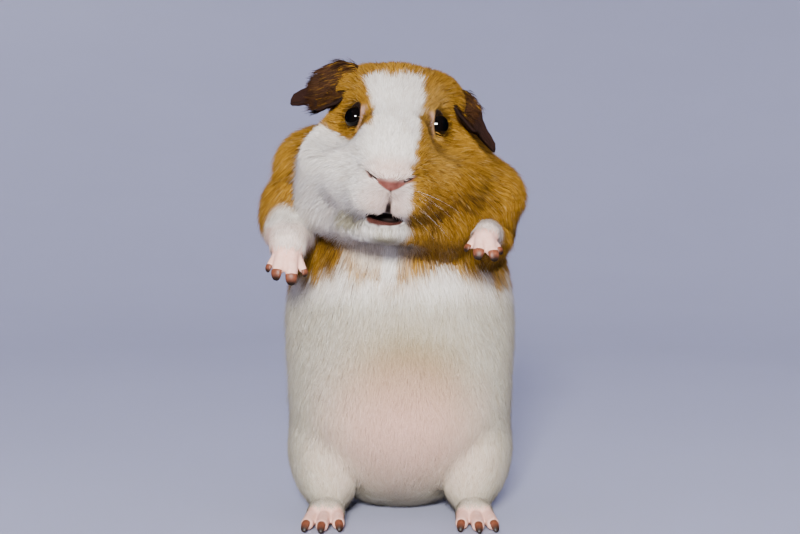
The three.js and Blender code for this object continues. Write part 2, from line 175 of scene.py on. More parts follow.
def softMin(a, b, blend):
    reach = np.maximum(blend - np.abs(a - b), 0) / blend
    return np.minimum(a, b) - reach * reach * blend / 4


def softMax(a, b, blend):
    return -softMin(-a, -b, blend)


def joinForms(points, forms):
    joined = None
    for distance, blend in forms:
        value = distance(points)
        joined = value if joined is None else softMin(joined, value, blend)
    return joined


# the whole outline, out to the tips of the coat
headForms = [
    ball("head", (0, 17, 0.6), (26, 26, 25.2)),  # cranium
    *pair("head", (15.5, 22, 11), (12, 11, 11.5)),  # roots of the ears
    ball("head", (0, -10, -8), (16, 29, 14.5), 10, 34),  # bridge of the nose
    ball("head", (0, -20, -25), (14.5, 15, 14)),  # muzzle
    *pair("head", (7, -23, -30), (8.5, 9.5, 8.5), 5),  # upper lips
    ball("head", (0, -29, -23.5), (8.5, 6, 6.5), 5),  # nose
    ball("head", (0, -15, -40), (11, 13, 8.5), 5),  # chin
    *pair("head", (11, -9, -38), (11, 13, 10), 8),  # from the chin into the jowls
    *pair("head", (13, -7, -23), (12.5, 18.5, 13), 9),  # from the muzzle into the cheeks
    *pair("head", (21, 6, -18), (16.5, 23, 20), 10),  # cheeks
    ball("head", (-20, 12, -32), (18, 20, 16), 10),  # right jowl
    ball("head", (20, 9, -34), (18, 21, 16), 10),  # left jowl, fuller
]
orbits = [
    *pair("head", (27, -8, -0.5), (9, 13, 9)),
    *pair("head", (20.5, -13, -4), (4.6, 8, 6.5), 5),  # the corner of the eye by the nose
]
trunkForms = [
    ball("body", (0, 5, 153), (29, 27, 25), 18),  # nape
    ball("body", (0, 0, 136), (39, 34, 29), 14),  # neck
    ball("body", (-33, -10, 146), (21, 22, 18)),  # roll of fur below the right ear
    ball("body", (30, -18, 133.5), (23, 26, 18.5), 10),  # full left cheek
    ball("body", (24, -4, 150), (14, 16, 13)),  # fold of the neck under the left ear
    ball("body", (0, 2, 104), (45, 38, 36), 16),  # chest
    ball("body", (0, 4, 78), (50, 42, 40), 16),  # ribs
    ball("body", (0, -1, 48), (47, 44, 40), 16),  # belly
    ball("body", (0, 13, 31), (43, 39, 32), 16),  # rump
]

forelegs = {
    "right": {
        "shoulder": ((-44, -17, 127), (15, 17, 19)),
        "joints": [(-45.5, -27, 122), (-44.2, -43, 115), (-44.4, -46.5, 111.6)],
        "toes": [  # root, end and thickness, from the outer to the inner toe
            ((-48, -46.4, 111), (-50.6, -49.2, 106.6), 1.9),
            ((-46.2, -48.4, 111.2), (-47.6, -51.8, 105.2), 2.7),
            ((-42.6, -48.6, 111), (-42.5, -52, 103.7), 2.8),
            ((-40.8, -46.6, 110.6), (-38.2, -49.4, 104.8), 1.8),
        ],
    },
    "left": {
        "shoulder": ((35, -17, 120), (14, 16, 16)),
        "joints": [(37, -30, 117), (33.8, -53, 118.8), (32.5, -57.8, 117)],
        "toes": [
            ((35, -57.8, 116.8), (37.4, -61, 113.6), 1.8),
            ((33.8, -59.6, 117), (35.2, -63.6, 112.6), 2.6),
            ((31.2, -59.8, 117.2), (30.4, -63.8, 113.2), 2.6),
            ((29.6, -58, 117.4), (27, -60.8, 114.6), 1.8),
        ],
    },
}
forelegRadii = {"elbow": (11, 8.5), "wrist": (7.2, 4.8), "knuckles": (5, 4.2)}  # right and left
hindRadii = {"ankle": 6.5, "instep": 6.2, "ballOfFoot": 4.6, "toe": 2.9}
toeShape = {"foreTaper": 0.92, "hindTaper": 0.9, "blend": 0.9}  # tapers: the tip's thickness for the root's


def toeForms(toes, taper):
    share, blend = toeShape[taper], toeShape["blend"]
    return [rod("body", root, end, size, size * share, blend) for root, end, size in toes]


def forelegForms(sideName):
    leg = forelegs[sideName]
    elbow, wrist, knuckles = leg["joints"]
    r = {joint: radii[sideName == "left"] for joint, radii in forelegRadii.items()}
    return [
        ball("body", *leg["shoulder"]),
        rod("body", elbow, wrist, r["elbow"], r["wrist"], 8),
        rod("body", wrist, knuckles, r["wrist"], r["knuckles"], 4),
        *toeForms(leg["toes"], "foreTaper"),
    ]


def hindToes(side):
    roots = [((30.5 + across) * side, -38, 4) for across in (-5, 0, 5)]
    ends = [((31 + across) * side, y, 2.9) for across, y in ((-6.4, -45), (0, -49), (6, -46))]
    return [(root, end, hindRadii["toe"]) for root, end in zip(roots, ends)]


def hindLegForms(side):
    r = hindRadii
    return [
        ball("body", (32 * side, -3, 27), (16.5, 28, 25)),  # thigh
        ball("body", (28 * side, -19, 17), (12, 13, 14)),  # knee
        rod("body", (27 * side, 4, 6), (30 * side, -30, 5), r["ankle"], r["instep"], 4),
        rod("body", (27.5 * side, -34, 4.4), (33 * side, -34, 4.4), r["ballOfFoot"], r["ballOfFoot"], 5),
        *toeForms(hindToes(side), "hindTaper"),
    ]


limbs = [forelegForms(sideName) for sideName in forelegs] + [hindLegForms(side) for side in (-1, 1)]


def outline(points):
    body = joinForms(points, headForms + trunkForms)
    for distance, blend in orbits:
        body = softMax(body, -distance(points), blend)
    for forms in limbs:
        body = softMin(body, joinForms(points, forms), 3)
    return body


# how the coat lies
# Each guide says, for the hair round its place: how far it reaches, how the hair lies, its length,
# the coat's depth, tufts per square millimetre, their width, and whether it stands on both sides.
# A point takes the mean of the guides near it.
guides = {
    "head": [
        ((0, -34, -20), 5, (0, 0.5, 0.85), 1.5, 0.5, 13, 0.20),  # nose
        ((0, -27, -9), 9, (0, 0.5, 0.85), 3.4, 1.3, 9, 0.26),  # bridge
        ((0, -13, 7), 12, (0, 0.6, 0.8), 4.8, 1.8, 7, 0.30),  # forehead
        ((0, 6, 24), 14, (0, 1, 0.2), 8, 2.8, 4.6, 0.41),  # crown
        ((14, -8, 9), 7, (0.45, 0.7, 0.6), 3.5, 1.3, 8, 0.30, True),  # brow
        ((10, -18, 0), 4, (0.3, 0.75, 0.55), 1.8, 0.6, 12, 0.2, True),  # by the eye
        ((13, -14, -9), 7, (0.75, 0.6, -0.25), 3.5, 1.4, 8, 0.30, True),  # below the eye
        ((24, 6, 2), 9, (0.55, 0.8, -0.2), 6, 2.0, 6, 0.36, True),  # temple
        ((20, 20, 16), 9, (0.75, 0.65, 0.0), 5.5, 2.0, 5.4, 0.36, True),  # round the ear
        ((10, -29, -25), 5, (0.9, 0.35, -0.2), 2.6, 1.0, 11, 0.22, True),  # side of the muzzle
        ((4, -32, -33), 4, (0.6, 0.1, -0.8), 2.2, 0.8, 13, 0.19, True),  # upper lip
        ((0, -28, -43), 6, (0, 0.35, -0.95), 4, 1.5, 9, 0.26),  # chin
        ((17, -18, -24), 8, (0.75, 0.5, -0.45), 5, 1.8, 7, 0.32, True),  # face
        ((33, -4, -20), 12, (0.6, 0.5, -0.62), 8, 3.2, 5, 0.38, True),  # cheek
        ((24, -8, -38), 11, (0.45, 0.35, -0.8), 9, 3.6, 5, 0.40, True),  # jowl
    ],
    "body": [
        ((0, -32, 112), 14, (0, 0.3, -1), 9, 3.8, 4.5, 0.42),  # throat
        ((0, 30, 152), 18, (0, 0.35, -0.95), 12, 4.5, 3.7, 0.47),  # nape
        ((48, -4, 143), 13, (0.15, 0.5, -0.85), 11, 4.5, 4.5, 0.44, True),  # neck
        ((50, -14, 126), 13, (0.1, -0.35, -0.93), 9, 4, 4.5, 0.42, True),  # shoulder
        ((-46, -42, 117), 9, (0, -0.6, -0.8), 3.6, 1.2, 7, 0.30),  # right forearm
        ((36, -52, 124), 9, (-0.05, -0.9, -0.35), 3.2, 1.0, 8, 0.28),  # left forearm
        ((0, -38, 98), 16, (0, 0.05, -1), 9, 3.6, 3.9, 0.40),  # chest
        ((0, -45, 62), 18, (0, 0, -1), 6.5, 2.4, 4.2, 0.34),  # belly
        ((0, -44, 34), 14, (0, 0.1, -1), 5.5, 2.0, 4.4, 0.32),  # groin
        ((49, 0, 84), 22, (0, 0.05, -1), 11, 4.5, 3.0, 0.44, True),  # flank
        ((0, 44, 96), 30, (0, 0.05, -1), 14, 5.5, 2.8, 0.48),  # back
        ((0, 50, 38), 20, (0, 0.1, -1), 13, 5, 2.9, 0.46),  # rump
        ((38, 30, 30), 16, (0.1, 0, -1), 12, 4.5, 3.0, 0.46, True),  # side of the rump
        ((42, -8, 34), 14, (0.05, -0.5, -0.85), 8, 3.2, 3.3, 0.42, True),  # thigh
        ((30, -30, 18), 9, (0, -0.7, -0.7), 5, 1.8, 5, 0.36, True),  # knee
        ((30, -36, 7), 8, (0, -1, -0.1), 2.2, 0.5, 8, 0.26, True),  # hind foot
        ((-44.5, -49.5, 108), 5, (0, -0.5, -0.85), 1.5, 0.3, 9, 0.17),  # right paw
        ((32.5, -61, 116), 5, (0, -0.5, -0.85), 1.5, 0.3, 9, 0.17),  # left paw
    ],
}


def guideRows(space, at, reach, lie, length, depth, crowd, width, both=False):
    rows = []
    for side in (1, -1) if both else (1,):
        place = placed(space, np.array(at, float) * (side, 1, 1))
        aim = np.array(lie, float) * (side, 1, 1)
        aim = unit(headTurn @ aim if space == "head" else aim)
        rows.append([*place, reach, *aim, length, depth, crowd, width])
    return rows


coatGuides = np.array([row for space in guides for spec in guides[space] for row in guideRows(space, *spec)])
guideColumns = {"depth": slice(8, 9), "crowd": slice(9, 10), "all": slice(4, 11)}


def coatAt(points, wanted):
    columns = guideColumns[wanted]
    total = np.zeros((len(points), coatGuides[:, columns].shape[1]))
    weights = np.full(len(points), 1e-12)
    for row in coatGuides:
        apart = ((points - row[:3]) ** 2).sum(axis=1) / row[3] ** 2
        weight = 1 / (0.02 + apart) ** 2
        total += weight[:, None] * row[columns]
        weights += weight
    return total / weights[:, None]


toeLines = [toe for leg in forelegs.values() for toe in leg["toes"]] + hindToes(-1) + hindToes(1)


def toeNearness(points):
    # distance to the nearest toe's middle line
    return np.min([rod("body", root, end, 0, 0, 0)[0](points) for root, end, _ in toeLines], axis=0)


def coatDepth(points):
    # the coat's depth, down to next to nothing on the toes
    return coatAt(points, "depth")[:, 0] * np.clip((toeNearness(points) - 2.5) / 5, 0.08, 1)


# the face in detail
face = {
    "lidForward": 1.9,  # the lids' rim in front of the eyeball's middle
    "lidRadius": 5.1,
    "lidThickness": 0.7,
    "nostril": [(8.7, -20.2), (7.4, -21.6), (5.6, -22.7)],  # across and up, from the outer to the inner end
    "nostrilRadius": (0.3, 0.6),
    "nostrilWing": [(9.0, -18.8), (5.5, -20.4), (2.0, -21.6)],
    "wingThickness": (0.8, 1.5),
    "pad": [(0.4, -23.0), (0.5, -26.6)],  # the middle of the nose, down to where the cleft starts
    "padThickness": (2.4, 1.2),
    "philtrum": [(0.5, -26.6), (0.3, -31), (0.2, -35.8)],  # the cleft
    "philtrumRadius": (0.2, 0.7),
    "mouthMiddle": (-1.2, -37.8),
    "mouthRadii": (7.9, 6.5, 2.2),
    "lip": [(-8.2, -38.0), (-5.6, -39.2), (-2.4, -39.9), (1.2, -40.1), (4.4, -39.6), (6.2, -38.6)],
    "lipThickness": (0.6, 1.3, 1.2, 0.7),
}
ground = {"soles": 0.3, "bareBelow": 0.6, "hairAbove": 0.25}  # levels of flat skin, its edge, the lowest hair


def onFace(x, z, sink=0.0):
    # the point of the flesh that lies straight behind (x, z) of the head's frame
    near, far = -48.0, -5.0  # in front of the nose and well inside the head
    for _ in range(26):  # halved until it is exact
        middle = (near + far) / 2
        point = fromHead([[x, middle, z]])
        value = outline(point)[0] + coatDepth(point)[0]
        near, far = (middle, far) if value > 0 else (near, middle)
    return (x, far + sink, z)


def chain(stops, radii, sink, blend, side=1):
    # rods from stop to stop over the face
    spots = [onFace(x * side, z, sink) for x, z in stops]
    sizes = np.interp(np.linspace(0, 1, len(stops)), np.linspace(0, 1, len(radii)), radii)
    return [rod("head", *ends, blend) for ends in zip(spots, spots[1:], sizes, sizes[1:])]


raised, nostrils = [], []
for side in (1, -1):
    eye, aim = eyeAt(side)
    lidMiddle = eye + aim * face["lidForward"]
    raised.append(ring(lidMiddle, aim, face["lidRadius"], face["lidThickness"], 2.4))
    raised += chain(face["nostrilWing"], face["wingThickness"], 0.5, 2.0, side)
    nostrils += chain(face["nostril"], face["nostrilRadius"], 0.1, 0.5, side)
raised += chain(face["pad"], face["padThickness"], 0.8, 2.5)
philtrum = chain(face["philtrum"], face["philtrumRadius"], 0.0, 1.4)

# the mouth is a flat opening under the upper lips, with the lower lip inside its rim
mouthForm = ball("head", onFace(*face["mouthMiddle"]), face["mouthRadii"], 0.8)
lipRods = chain(face["lip"], face["lipThickness"], 1.7, 0.6)
carved = nostrils + philtrum + [mouthForm]


def lipForm(points):
    return np.min([distance(points) for distance, _ in lipRods], axis=0)


def hairyField(points):
    # the skin before the nostrils and the mouth are cut into it
    skin = outline(points) + coatDepth(points)
    for distance, blend in raised:
        skin = softMin(skin, distance(points), blend)
    return skin


def skinField(points):
    skin = hairyField(points)
    for distance, blend in carved:
        skin = softMax(skin, -distance(points), blend)
    skin = softMin(skin, lipForm(points), 0.6)
    return softMax(skin, ground["soles"] - points[:, 2], 0.8)


# wrapping the flesh in a skin
skinGrid = {  # where the grid's spacing changes, and the spacing there
    "x": [(-66, 2.0), (-54, 0.85), (42, 0.85), (44, 2.0), (66, 2.0)],
    "y": [(-88, 0.85), (-26, 0.85), (-20, 1.8), (66, 1.8)],
    "z": [(-4, 0.9), (10, 0.9), (16, 2.0), (92, 2.0), (100, 0.85), (196, 0.85)],
}
# round the eyes, the nose and the mouth it is made finer: places on the head and how far they reach
fineSpots = [((side * head["eyeSpacing"] / 2, -2, 0), 8.5) for side in (1, -1)]
fineSpots += [((0, -33, -24), 11.5), ((0, -28, -38), 9.5)]


def spaced(stops):
    places = [stops[0][0]]
    spots, sizes = zip(*stops)
    while places[-1] < spots[-1]:
        places.append(places[-1] + float(np.interp(places[-1], spots, sizes)))
    return np.array(places)


def sampleField(field, axes, rough=6.0):
    # a rough grid first, then the fine one only where the surface can be
    roughAxes = [np.arange(a[0] - rough, a[-1] + rough, rough) for a in axes]
    grid = np.stack(np.meshgrid(*roughAxes, indexing="ij"), axis=-1)
    roughValues = field(grid.reshape(-1, 3)).reshape(grid.shape[:3])
    nearest = [np.rint((a - r[0]) / rough).astype(int).clip(0, len(r) - 1) for a, r in zip(axes, roughAxes)]
    values = roughValues[np.ix_(*nearest)]
    close = np.abs(values) < rough * 1.6  # nearly a rough cell's diagonal
    i, j, k = np.nonzero(close)
    points = np.stack([axes[0][i], axes[1][j], axes[2][k]], axis=1)
    values[close] = np.concatenate([field(chunk) for chunk in np.array_split(points, 8)])
    return values


def wrapField(field, axes):
    values = sampleField(field, axes)
    inside = values < 0
    corners = [(n & 1, (n >> 1) & 1, n >> 2) for n in range(8)]
    rows, columns, levels = (n - 1 for n in values.shape)
    filled = np.zeros((rows, columns, levels), np.int8)
    for a, b, c in corners:
        filled += inside[a:rows + a, b:columns + b, c:levels + c]
    mixed = (filled > 0) & (filled < 8)
    cells = np.argwhere(mixed)
    order = np.full(mixed.shape, -1)
    order[mixed] = np.arange(len(cells))
    middle, crossings = np.zeros((len(cells), 3)), np.zeros(len(cells))
    for m, first in enumerate(corners):
        for bit in (1, 2, 4):
            if m & bit:
                continue
            ends = [cells + first, cells + corners[m | bit]]
            low, high = (values[tuple(end.T)] for end in ends)
            crossed = (low < 0) != (high < 0)
            t = (low / np.where(crossed, low - high, 1))[:, None]
            start, stop = (np.stack([axes[n][end[:, n]] for n in range(3)], axis=1) for end in ends)
            middle[crossed] += (start + (stop - start) * t)[crossed]
            crossings[crossed] += 1
    middle /= crossings[:, None]
    faces = []
    inner = np.pad(np.ones([n - 2 for n in inside.shape], bool), 1)
    for axis in range(3):
        spots = np.argwhere((inside != np.roll(inside, -1, axis)) & inner)
        p, q = np.eye(3, dtype=int)[[(axis + 1) % 3, (axis + 2) % 3]]
        rings = np.stack([order[tuple((spots - back).T)] for back in (p + q, q, 0 * p, p)], axis=1)
        outward = inside[tuple(spots.T)]
        rings[~outward] = rings[~outward][:, ::-1]
        faces.append(rings)
    return middle, np.concatenate(faces)


def settle(points, field, rounds=3, step=0.25):
    for _ in range(rounds):
        slope = np.zeros_like(points)
        for axis in range(3):
            nudge = np.zeros(3)
            nudge[axis] = step
            slope[:, axis] = (field(points + nudge) - field(points - nudge)) / (2 * step)
        pace = field(points) / np.maximum((slope**2).sum(axis=1), 0.3)
        points = points - slope * np.clip(pace, -0.5, 0.5)[:, None]
    return points


def meshFrom(name, points, faces):
    mesh = bpy.data.meshes.new(name)
    faces = np.asarray(faces, np.int32)
    sides = faces.shape[1]
    mesh.vertices.add(len(points))
    mesh.vertices.foreach_set("co", np.asarray(points, np.float32).ravel())
    mesh.loops.add(faces.size)
    mesh.loops.foreach_set("vertex_index", faces.ravel())
    mesh.polygons.add(len(faces))
    mesh.polygons.foreach_set("loop_start", np.arange(0, faces.size, sides, dtype=np.int32))
    mesh.polygons.foreach_set("use_smooth", np.ones(len(faces), bool))
    mesh.update()
    piece = bpy.data.objects.new(name, mesh)
    bpy.context.scene.collection.objects.link(piece)
    return piece


def readAll(items, name, width, kind=np.float32):
    values = np.zeros(len(items) * width, kind)
    items.foreach_get(name, values)
    return values.reshape(-1, width)


def vertexPlaces(mesh):
    return readAll(mesh.vertices, "co", 3).astype(float)


def movePoints(mesh, places):
    mesh.vertices.foreach_set("co", np.asarray(places, np.float32).ravel())
    mesh.update()


def gridFaces(rows, columns, first=0, closed=True):
    # four-sided faces between neighbouring rows of points, each row a ring if closed
    at = first + np.arange(rows * columns).reshape(rows, columns)
    after = np.roll(at, -1, axis=1)
    if not closed:
        at, after = at[:, :-1], after[:, :-1]
    return np.stack([at[:-1], at[1:], after[1:], after[:-1]], axis=-1).reshape(-1, 4)


def shadeSmooth(mesh):
    mesh.polygons.foreach_set("use_smooth", np.ones(len(mesh.polygons), bool))


def rework(piece, *changes):
    # changes a mesh, then points its faces outward
    work = bmesh.new()
    work.from_mesh(piece.data)
    for change in changes:
        change(work)
    bmesh.ops.recalc_face_normals(work, faces=work.faces)
    work.to_mesh(piece.data)
    work.free()
    shadeSmooth(piece.data)


def refine(work):
    middles = np.array([face.calc_center_median() for face in work.faces])
    chosen = np.zeros(len(middles), bool)
    for place, reach in fineSpots:
        chosen |= np.linalg.norm(middles - fromHead(place), axis=1) < reach
    edges = {edge for face, wanted in zip(work.faces, chosen) if wanted for edge in face.edges}
    bmesh.ops.subdivide_edges(work, edges=list(edges), cuts=1, use_grid_fill=True)
    bmesh.ops.triangulate(work, faces=work.faces)


def closeEnds(work):
    bmesh.ops.remove_doubles(work, verts=work.verts, dist=1e-6)
    bmesh.ops.holes_fill(work, edges=work.edges)


skinPoints, skinFaces = wrapField(skinField, [spaced(skinGrid[axis]) for axis in "xyz"])
report(f"flesh wrapped, {len(skinPoints)} points")
skin = meshFrom("skin", skinPoints, skinFaces)
rework(skin, refine)
movePoints(skin.data, settle(vertexPlaces(skin.data), skinField))
report(f"skin settled, {len(skin.data.vertices)} points")

# ears
ears = {
    "length": 27.6,
    "start": -0.3,  # how far inside the head it begins, for its length
    "upperRim": [  # how far along, and how far the rim is from the middle line there
        (-0.3, 4), (0, 10.5), (0.2, 13), (0.42, 10.6), (0.58, 5.6), (0.76, 3.6), (0.94, 2.8), (1, 1),
    ],
    "lowerRim": [
        (-0.3, -2), (0, -6), (0.2, -9.6), (0.46, -11), (0.62, -5.2), (0.8, -4.4), (0.94, -3), (1, -1),
    ],
    "cup": 4.0,  # how far the rims stand in front of the middle
    "cupWidth": 16,  # the cup grows flatter where the ear is narrower than this
    "foldBack": 3.0,
    "ripple": (0.5, 9, 2.5),  # soft ridges in the hollow: their height, and their waves across and along
    "thickness": (1.7, 1.05),  # at the root and the tip
    "rim": (0.35, 14, 22),  # its thickness for the ear's, and how fast it thickens from the sides and the tip
    "rows": 44,
    "columns": 30,
    "sides": {
        -1: {"root": (-19, 13, 12), "toTip": (-0.96, 0.28, -0.2), "toUpperRim": (-0.19, 0.6, 0.78)},
        1: {"root": (20, 14, 10), "toTip": (0.82, 0.18, -0.55), "toUpperRim": (0.21, 0.88, 0.42)},
    },
}


def rimAt(rim, along):
    spots, values = zip(*rim)
    after = np.clip(np.searchsorted(spots, along), 1, len(spots) - 1)
    spots, values = np.array(spots), np.array(values)
    t = np.clip((along - spots[after - 1]) / (spots[after] - spots[after - 1]), 0, 1)
    return values[after - 1] + (values[after] - values[after - 1]) * t * t * (3 - 2 * t)


def earSheet(side):
    spec = ears["sides"][side]
    along, across = unit(spec["toTip"]), np.array(spec["toUpperRim"])
    across = unit(across - along * (across @ along))
    front = np.cross(across, along) * -side
    ways = np.linspace(ears["start"], 1, ears["rows"]), np.linspace(0, 1, ears["columns"])
    t, s = np.meshgrid(*ways, indexing="ij")
    low, high = rimAt(ears["lowerRim"], t), rimAt(ears["upperRim"], t)
    width = np.minimum(1, (high - low) / ears["cupWidth"])
    lift = ears["cup"] * (2 * s - 1) ** 2 * width - ears["foldBack"] * np.clip(t, 0, 1) ** 2
    ripple, wavesAcross, wavesAlong = ears["ripple"]
    lift += ripple * np.sin(wavesAcross * s + wavesAlong * t) * np.sin(math.pi * s) * width
    places = (np.array(spec["root"]) + along * (ears["length"] * t)[..., None]
              + across * (low + (high - low) * s)[..., None] + front * lift[..., None])
    return fromHead(places), t, s


def earMesh(side):
    places, t, s = earSheet(side)
    rows, columns = t.shape
    slopeT, slopeS = np.gradient(places, axis=(0, 1))
    normals = unit(np.cross(slopeT, slopeS))
    rootHalf, tipHalf = (value / 2 for value in ears["thickness"])
    rim, atSides, atTip = ears["rim"]
    edge = np.clip(np.minimum(np.minimum(s, 1 - s) * atSides, (1 - t) * atTip), 0, 1)
    half = rootHalf + (tipHalf - rootHalf) * np.clip(t, 0, 1)
    half *= rim + (1 - rim) * np.sqrt(1 - (1 - edge) ** 2)
    upper, lower = (places + normals * (sign * half)[..., None] for sign in (1, -1))
    count = rows * columns
    at = np.arange(count).reshape(rows, columns)
    top = gridFaces(rows, columns, closed=False)
    border = np.concatenate([at[0, :-1], at[:-1, -1], at[-1, :0:-1], at[:0:-1, 0]])
    after = np.roll(border, -1)
    wall = np.stack([after, border, border + count, after + count], axis=1)
    faces = np.concatenate([top, top[:, ::-1] + count, wall[:, ::-1]])
    piece = meshFrom("earSheet", np.concatenate([upper.reshape(-1, 3), lower.reshape(-1, 3)]), faces)
    rework(piece)
    return piece


def earTree(side):
    places, t, s = earSheet(side)
    faces = gridFaces(*t.shape, closed=False)
    flat = places.reshape(-1, 3)
    tree = BVHTree.FromPolygons([Vector(p) for p in flat], faces.tolist())
    return tree, flat, faces, t.ravel(), s.ravel()


for side in (-1, 1):
    earPiece = earMesh(side)
    union = skin.modifiers.new("joinEar", "BOOLEAN")
    union.operation = "UNION"
    union.solver = "EXACT"
    union.object = earPiece
    depsgraph = bpy.context.evaluated_depsgraph_get()
    joined = bpy.data.meshes.new_from_object(skin.evaluated_get(depsgraph))
    skin.modifiers.clear()
    skin.data = joined
    bpy.data.objects.remove(earPiece)
report(f"ears joined, {len(skin.data.vertices)} points")

earTrees = {side: earTree(side) for side in (-1, 1)}


def earNearness(points):
    # how far each point is from an ear's middle sheet, where along and across that ear, and which ear
    apart, along, across, which = (np.full(len(points), fill) for fill in (99.0, 0.0, 0.0, 0.0))
    for side, (tree, flat, faces, t, s) in earTrees.items():
        low, high = flat.min(axis=0) - 4, flat.max(axis=0) + 4
        for n in np.nonzero(((points > low) & (points < high)).all(axis=1))[0]:
            _, _, face, distance = tree.find_nearest(Vector(points[n]), 4)
            if face is not None and distance < apart[n]:
                corner = faces[face][0]
                apart[n], along[n], across[n], which[n] = distance, t[corner], s[corner], side
    return apart, along, across, which


def softenEarRoots(mesh, reach=1.9, rounds=6):
    # the crease where each ear meets the head is relaxed into a fillet
    points = vertexPlaces(mesh)
    apart = earNearness(points)[0]
    crease = (apart < reach) & (np.abs(skinField(points)) < reach)
    a, b = readAll(mesh.edges, "vertices", 2, np.int32).T
    for _ in range(rounds):
        total, count = np.zeros_like(points), np.zeros(len(points))
        for one, other in ((a, b), (b, a)):
            np.add.at(total, one, points[other])
            np.add.at(count, one, 1)
        points[crease] = (total / np.maximum(count, 1)[:, None])[crease]
    movePoints(mesh, points)


softenEarRoots(skin.data)
shadeSmooth(skin.data)
report("ear roots softened")

# markings, shared by skin and coat
def smooth(low, high, value):
    t = np.clip((value - low) / (high - low), 0, 1)
    return t * t * (3 - 2 * t)


def ripples(points, size, seed, rows=6):
    # soft, even noise from a few crossing waves, about -1 to 1
    waves = np.random.default_rng(seed)
    total = np.zeros(len(points))
    for _ in range(rows):
        aim = unit(waves.normal(size=3))
        total += np.sin(points @ aim * 2 * math.pi / size + waves.uniform(0, 7))
        size *= 0.83
    return total / math.sqrt(rows * 2)


def patch(points, centre, radii, edge):
    # 1 inside a rounded patch, 0 outside, with a soft edge
    return 1 - smooth(1 - edge, 1 + edge, np.linalg.norm((points - centre) / np.array(radii), axis=1))


markings = {
    "blazeLevels": (-36, -22, -6, 0, 4, 15),  # up the head, and the white blaze's edges there
    "blazeRight": (-8, -8, -8, -8.2, -9.2, -12.6),
    "blazeLeft": (5.8, 7.2, 8.2, 8.6, 8.4, 8.2),
    "blazeTop": 15.2,
    "blazeBack": 12.0,  # it ends this far behind the eyes
    "edge": 0.9,  # how far hairs of one colour reach over the other
    "rightEyePatch": ((-23, -10, 4.5), (13.5, 30, 12)),
    "besideRightEye": ((-11, -20, -8.5), (4.5, 14, 5)),
    "chinSide": 7.2,  # the chin is white up to here, orange on its left
    "collarFoot": 98.0,  # the orange of the shoulders ends at this level
    "rightCuffTop": 123.6,  # the right foreleg is white below this level
    "leftCuffBack": -42.0,  # and the left one in front of this
    "throat": ((-10, -40, 116), (15, 14, 10)),
    "rumpPatches": [((6, 46, 50), (21, 26, 21)), ((22, 38, 32), (20, 24, 17))],
    # soft patches: strength, frame, place, radii, softness of the edge and, if streaked, of the streaks
    # the dark patches are painted shade: brown streaks laid into the fold of the cheek, on the jaw, behind
    # and inside the forelegs and on the right shoulder
    "dark": [
        (0.8, "head", (31, -8, -26), (10, 12, 4.6), 0.5, (0.3, 0.8)),  # fold of the cheek
        (0.6, "head", (16, -20, -38), (6, 10, 7), 0.5, (0.35, 0.9)),  # jaw
        (0.8, "body", (44, -16, 119), (9, 16, 9), 0.4, (0.3, 0.8)),  # behind the left foreleg
        (0.7, "body", (-30, -34, 112), (8, 12, 9), 0.4),  # inside the right foreleg
        (0.2, "body", (-52, -18, 128), (16, 20, 17), 0.6),  # right shoulder
    ],
    "pale": [
        (0.4, "head", (14, -12, 8), (4.5, 16, 12), 0.5),  # left brow
        (0.2, "head", (17, -18, -12), (6, 14, 9), 0.6),  # below the left eye
    ],
    # olive-brown patches, partly real staining of the white coat and partly painted shade with a painted
    # greenish reflection
    "stainAndShade": [
        (0.75, "head", (-14, -20, -36.5), (6, 10, 3.2), 0.5),  # corner of the mouth
        (0.7, "head", (1, -26, -44), (9, 9, 2.8), 0.5),  # chin
        (0.55, "body", (4, -46, 64), (22, 20, 20), 0.8),  # belly
    ],
    "blush": [
        (0.65, "body", (2, -46, 36), (36, 26, 26), 0.8),  # groin
        (0.25, "body", (-2, -46, 58), (34, 24, 26), 0.8),  # belly
        (0.55, "head", (0.4, -33, -20), (8.5, 8, 4.5), 0.5),  # over the nose
        (0.55, "head", (0, -33, -31), (9, 8, 7), 0.6),  # upper lips
    ],
    "cuffBlush": 0.36,
    "rightCuffBlush": (0.4, "body", (-54, -34, 114), (6, 16, 10), 0.5),
    "frontShade": 0.52,  # painted shade over the whole front, below the collar
}


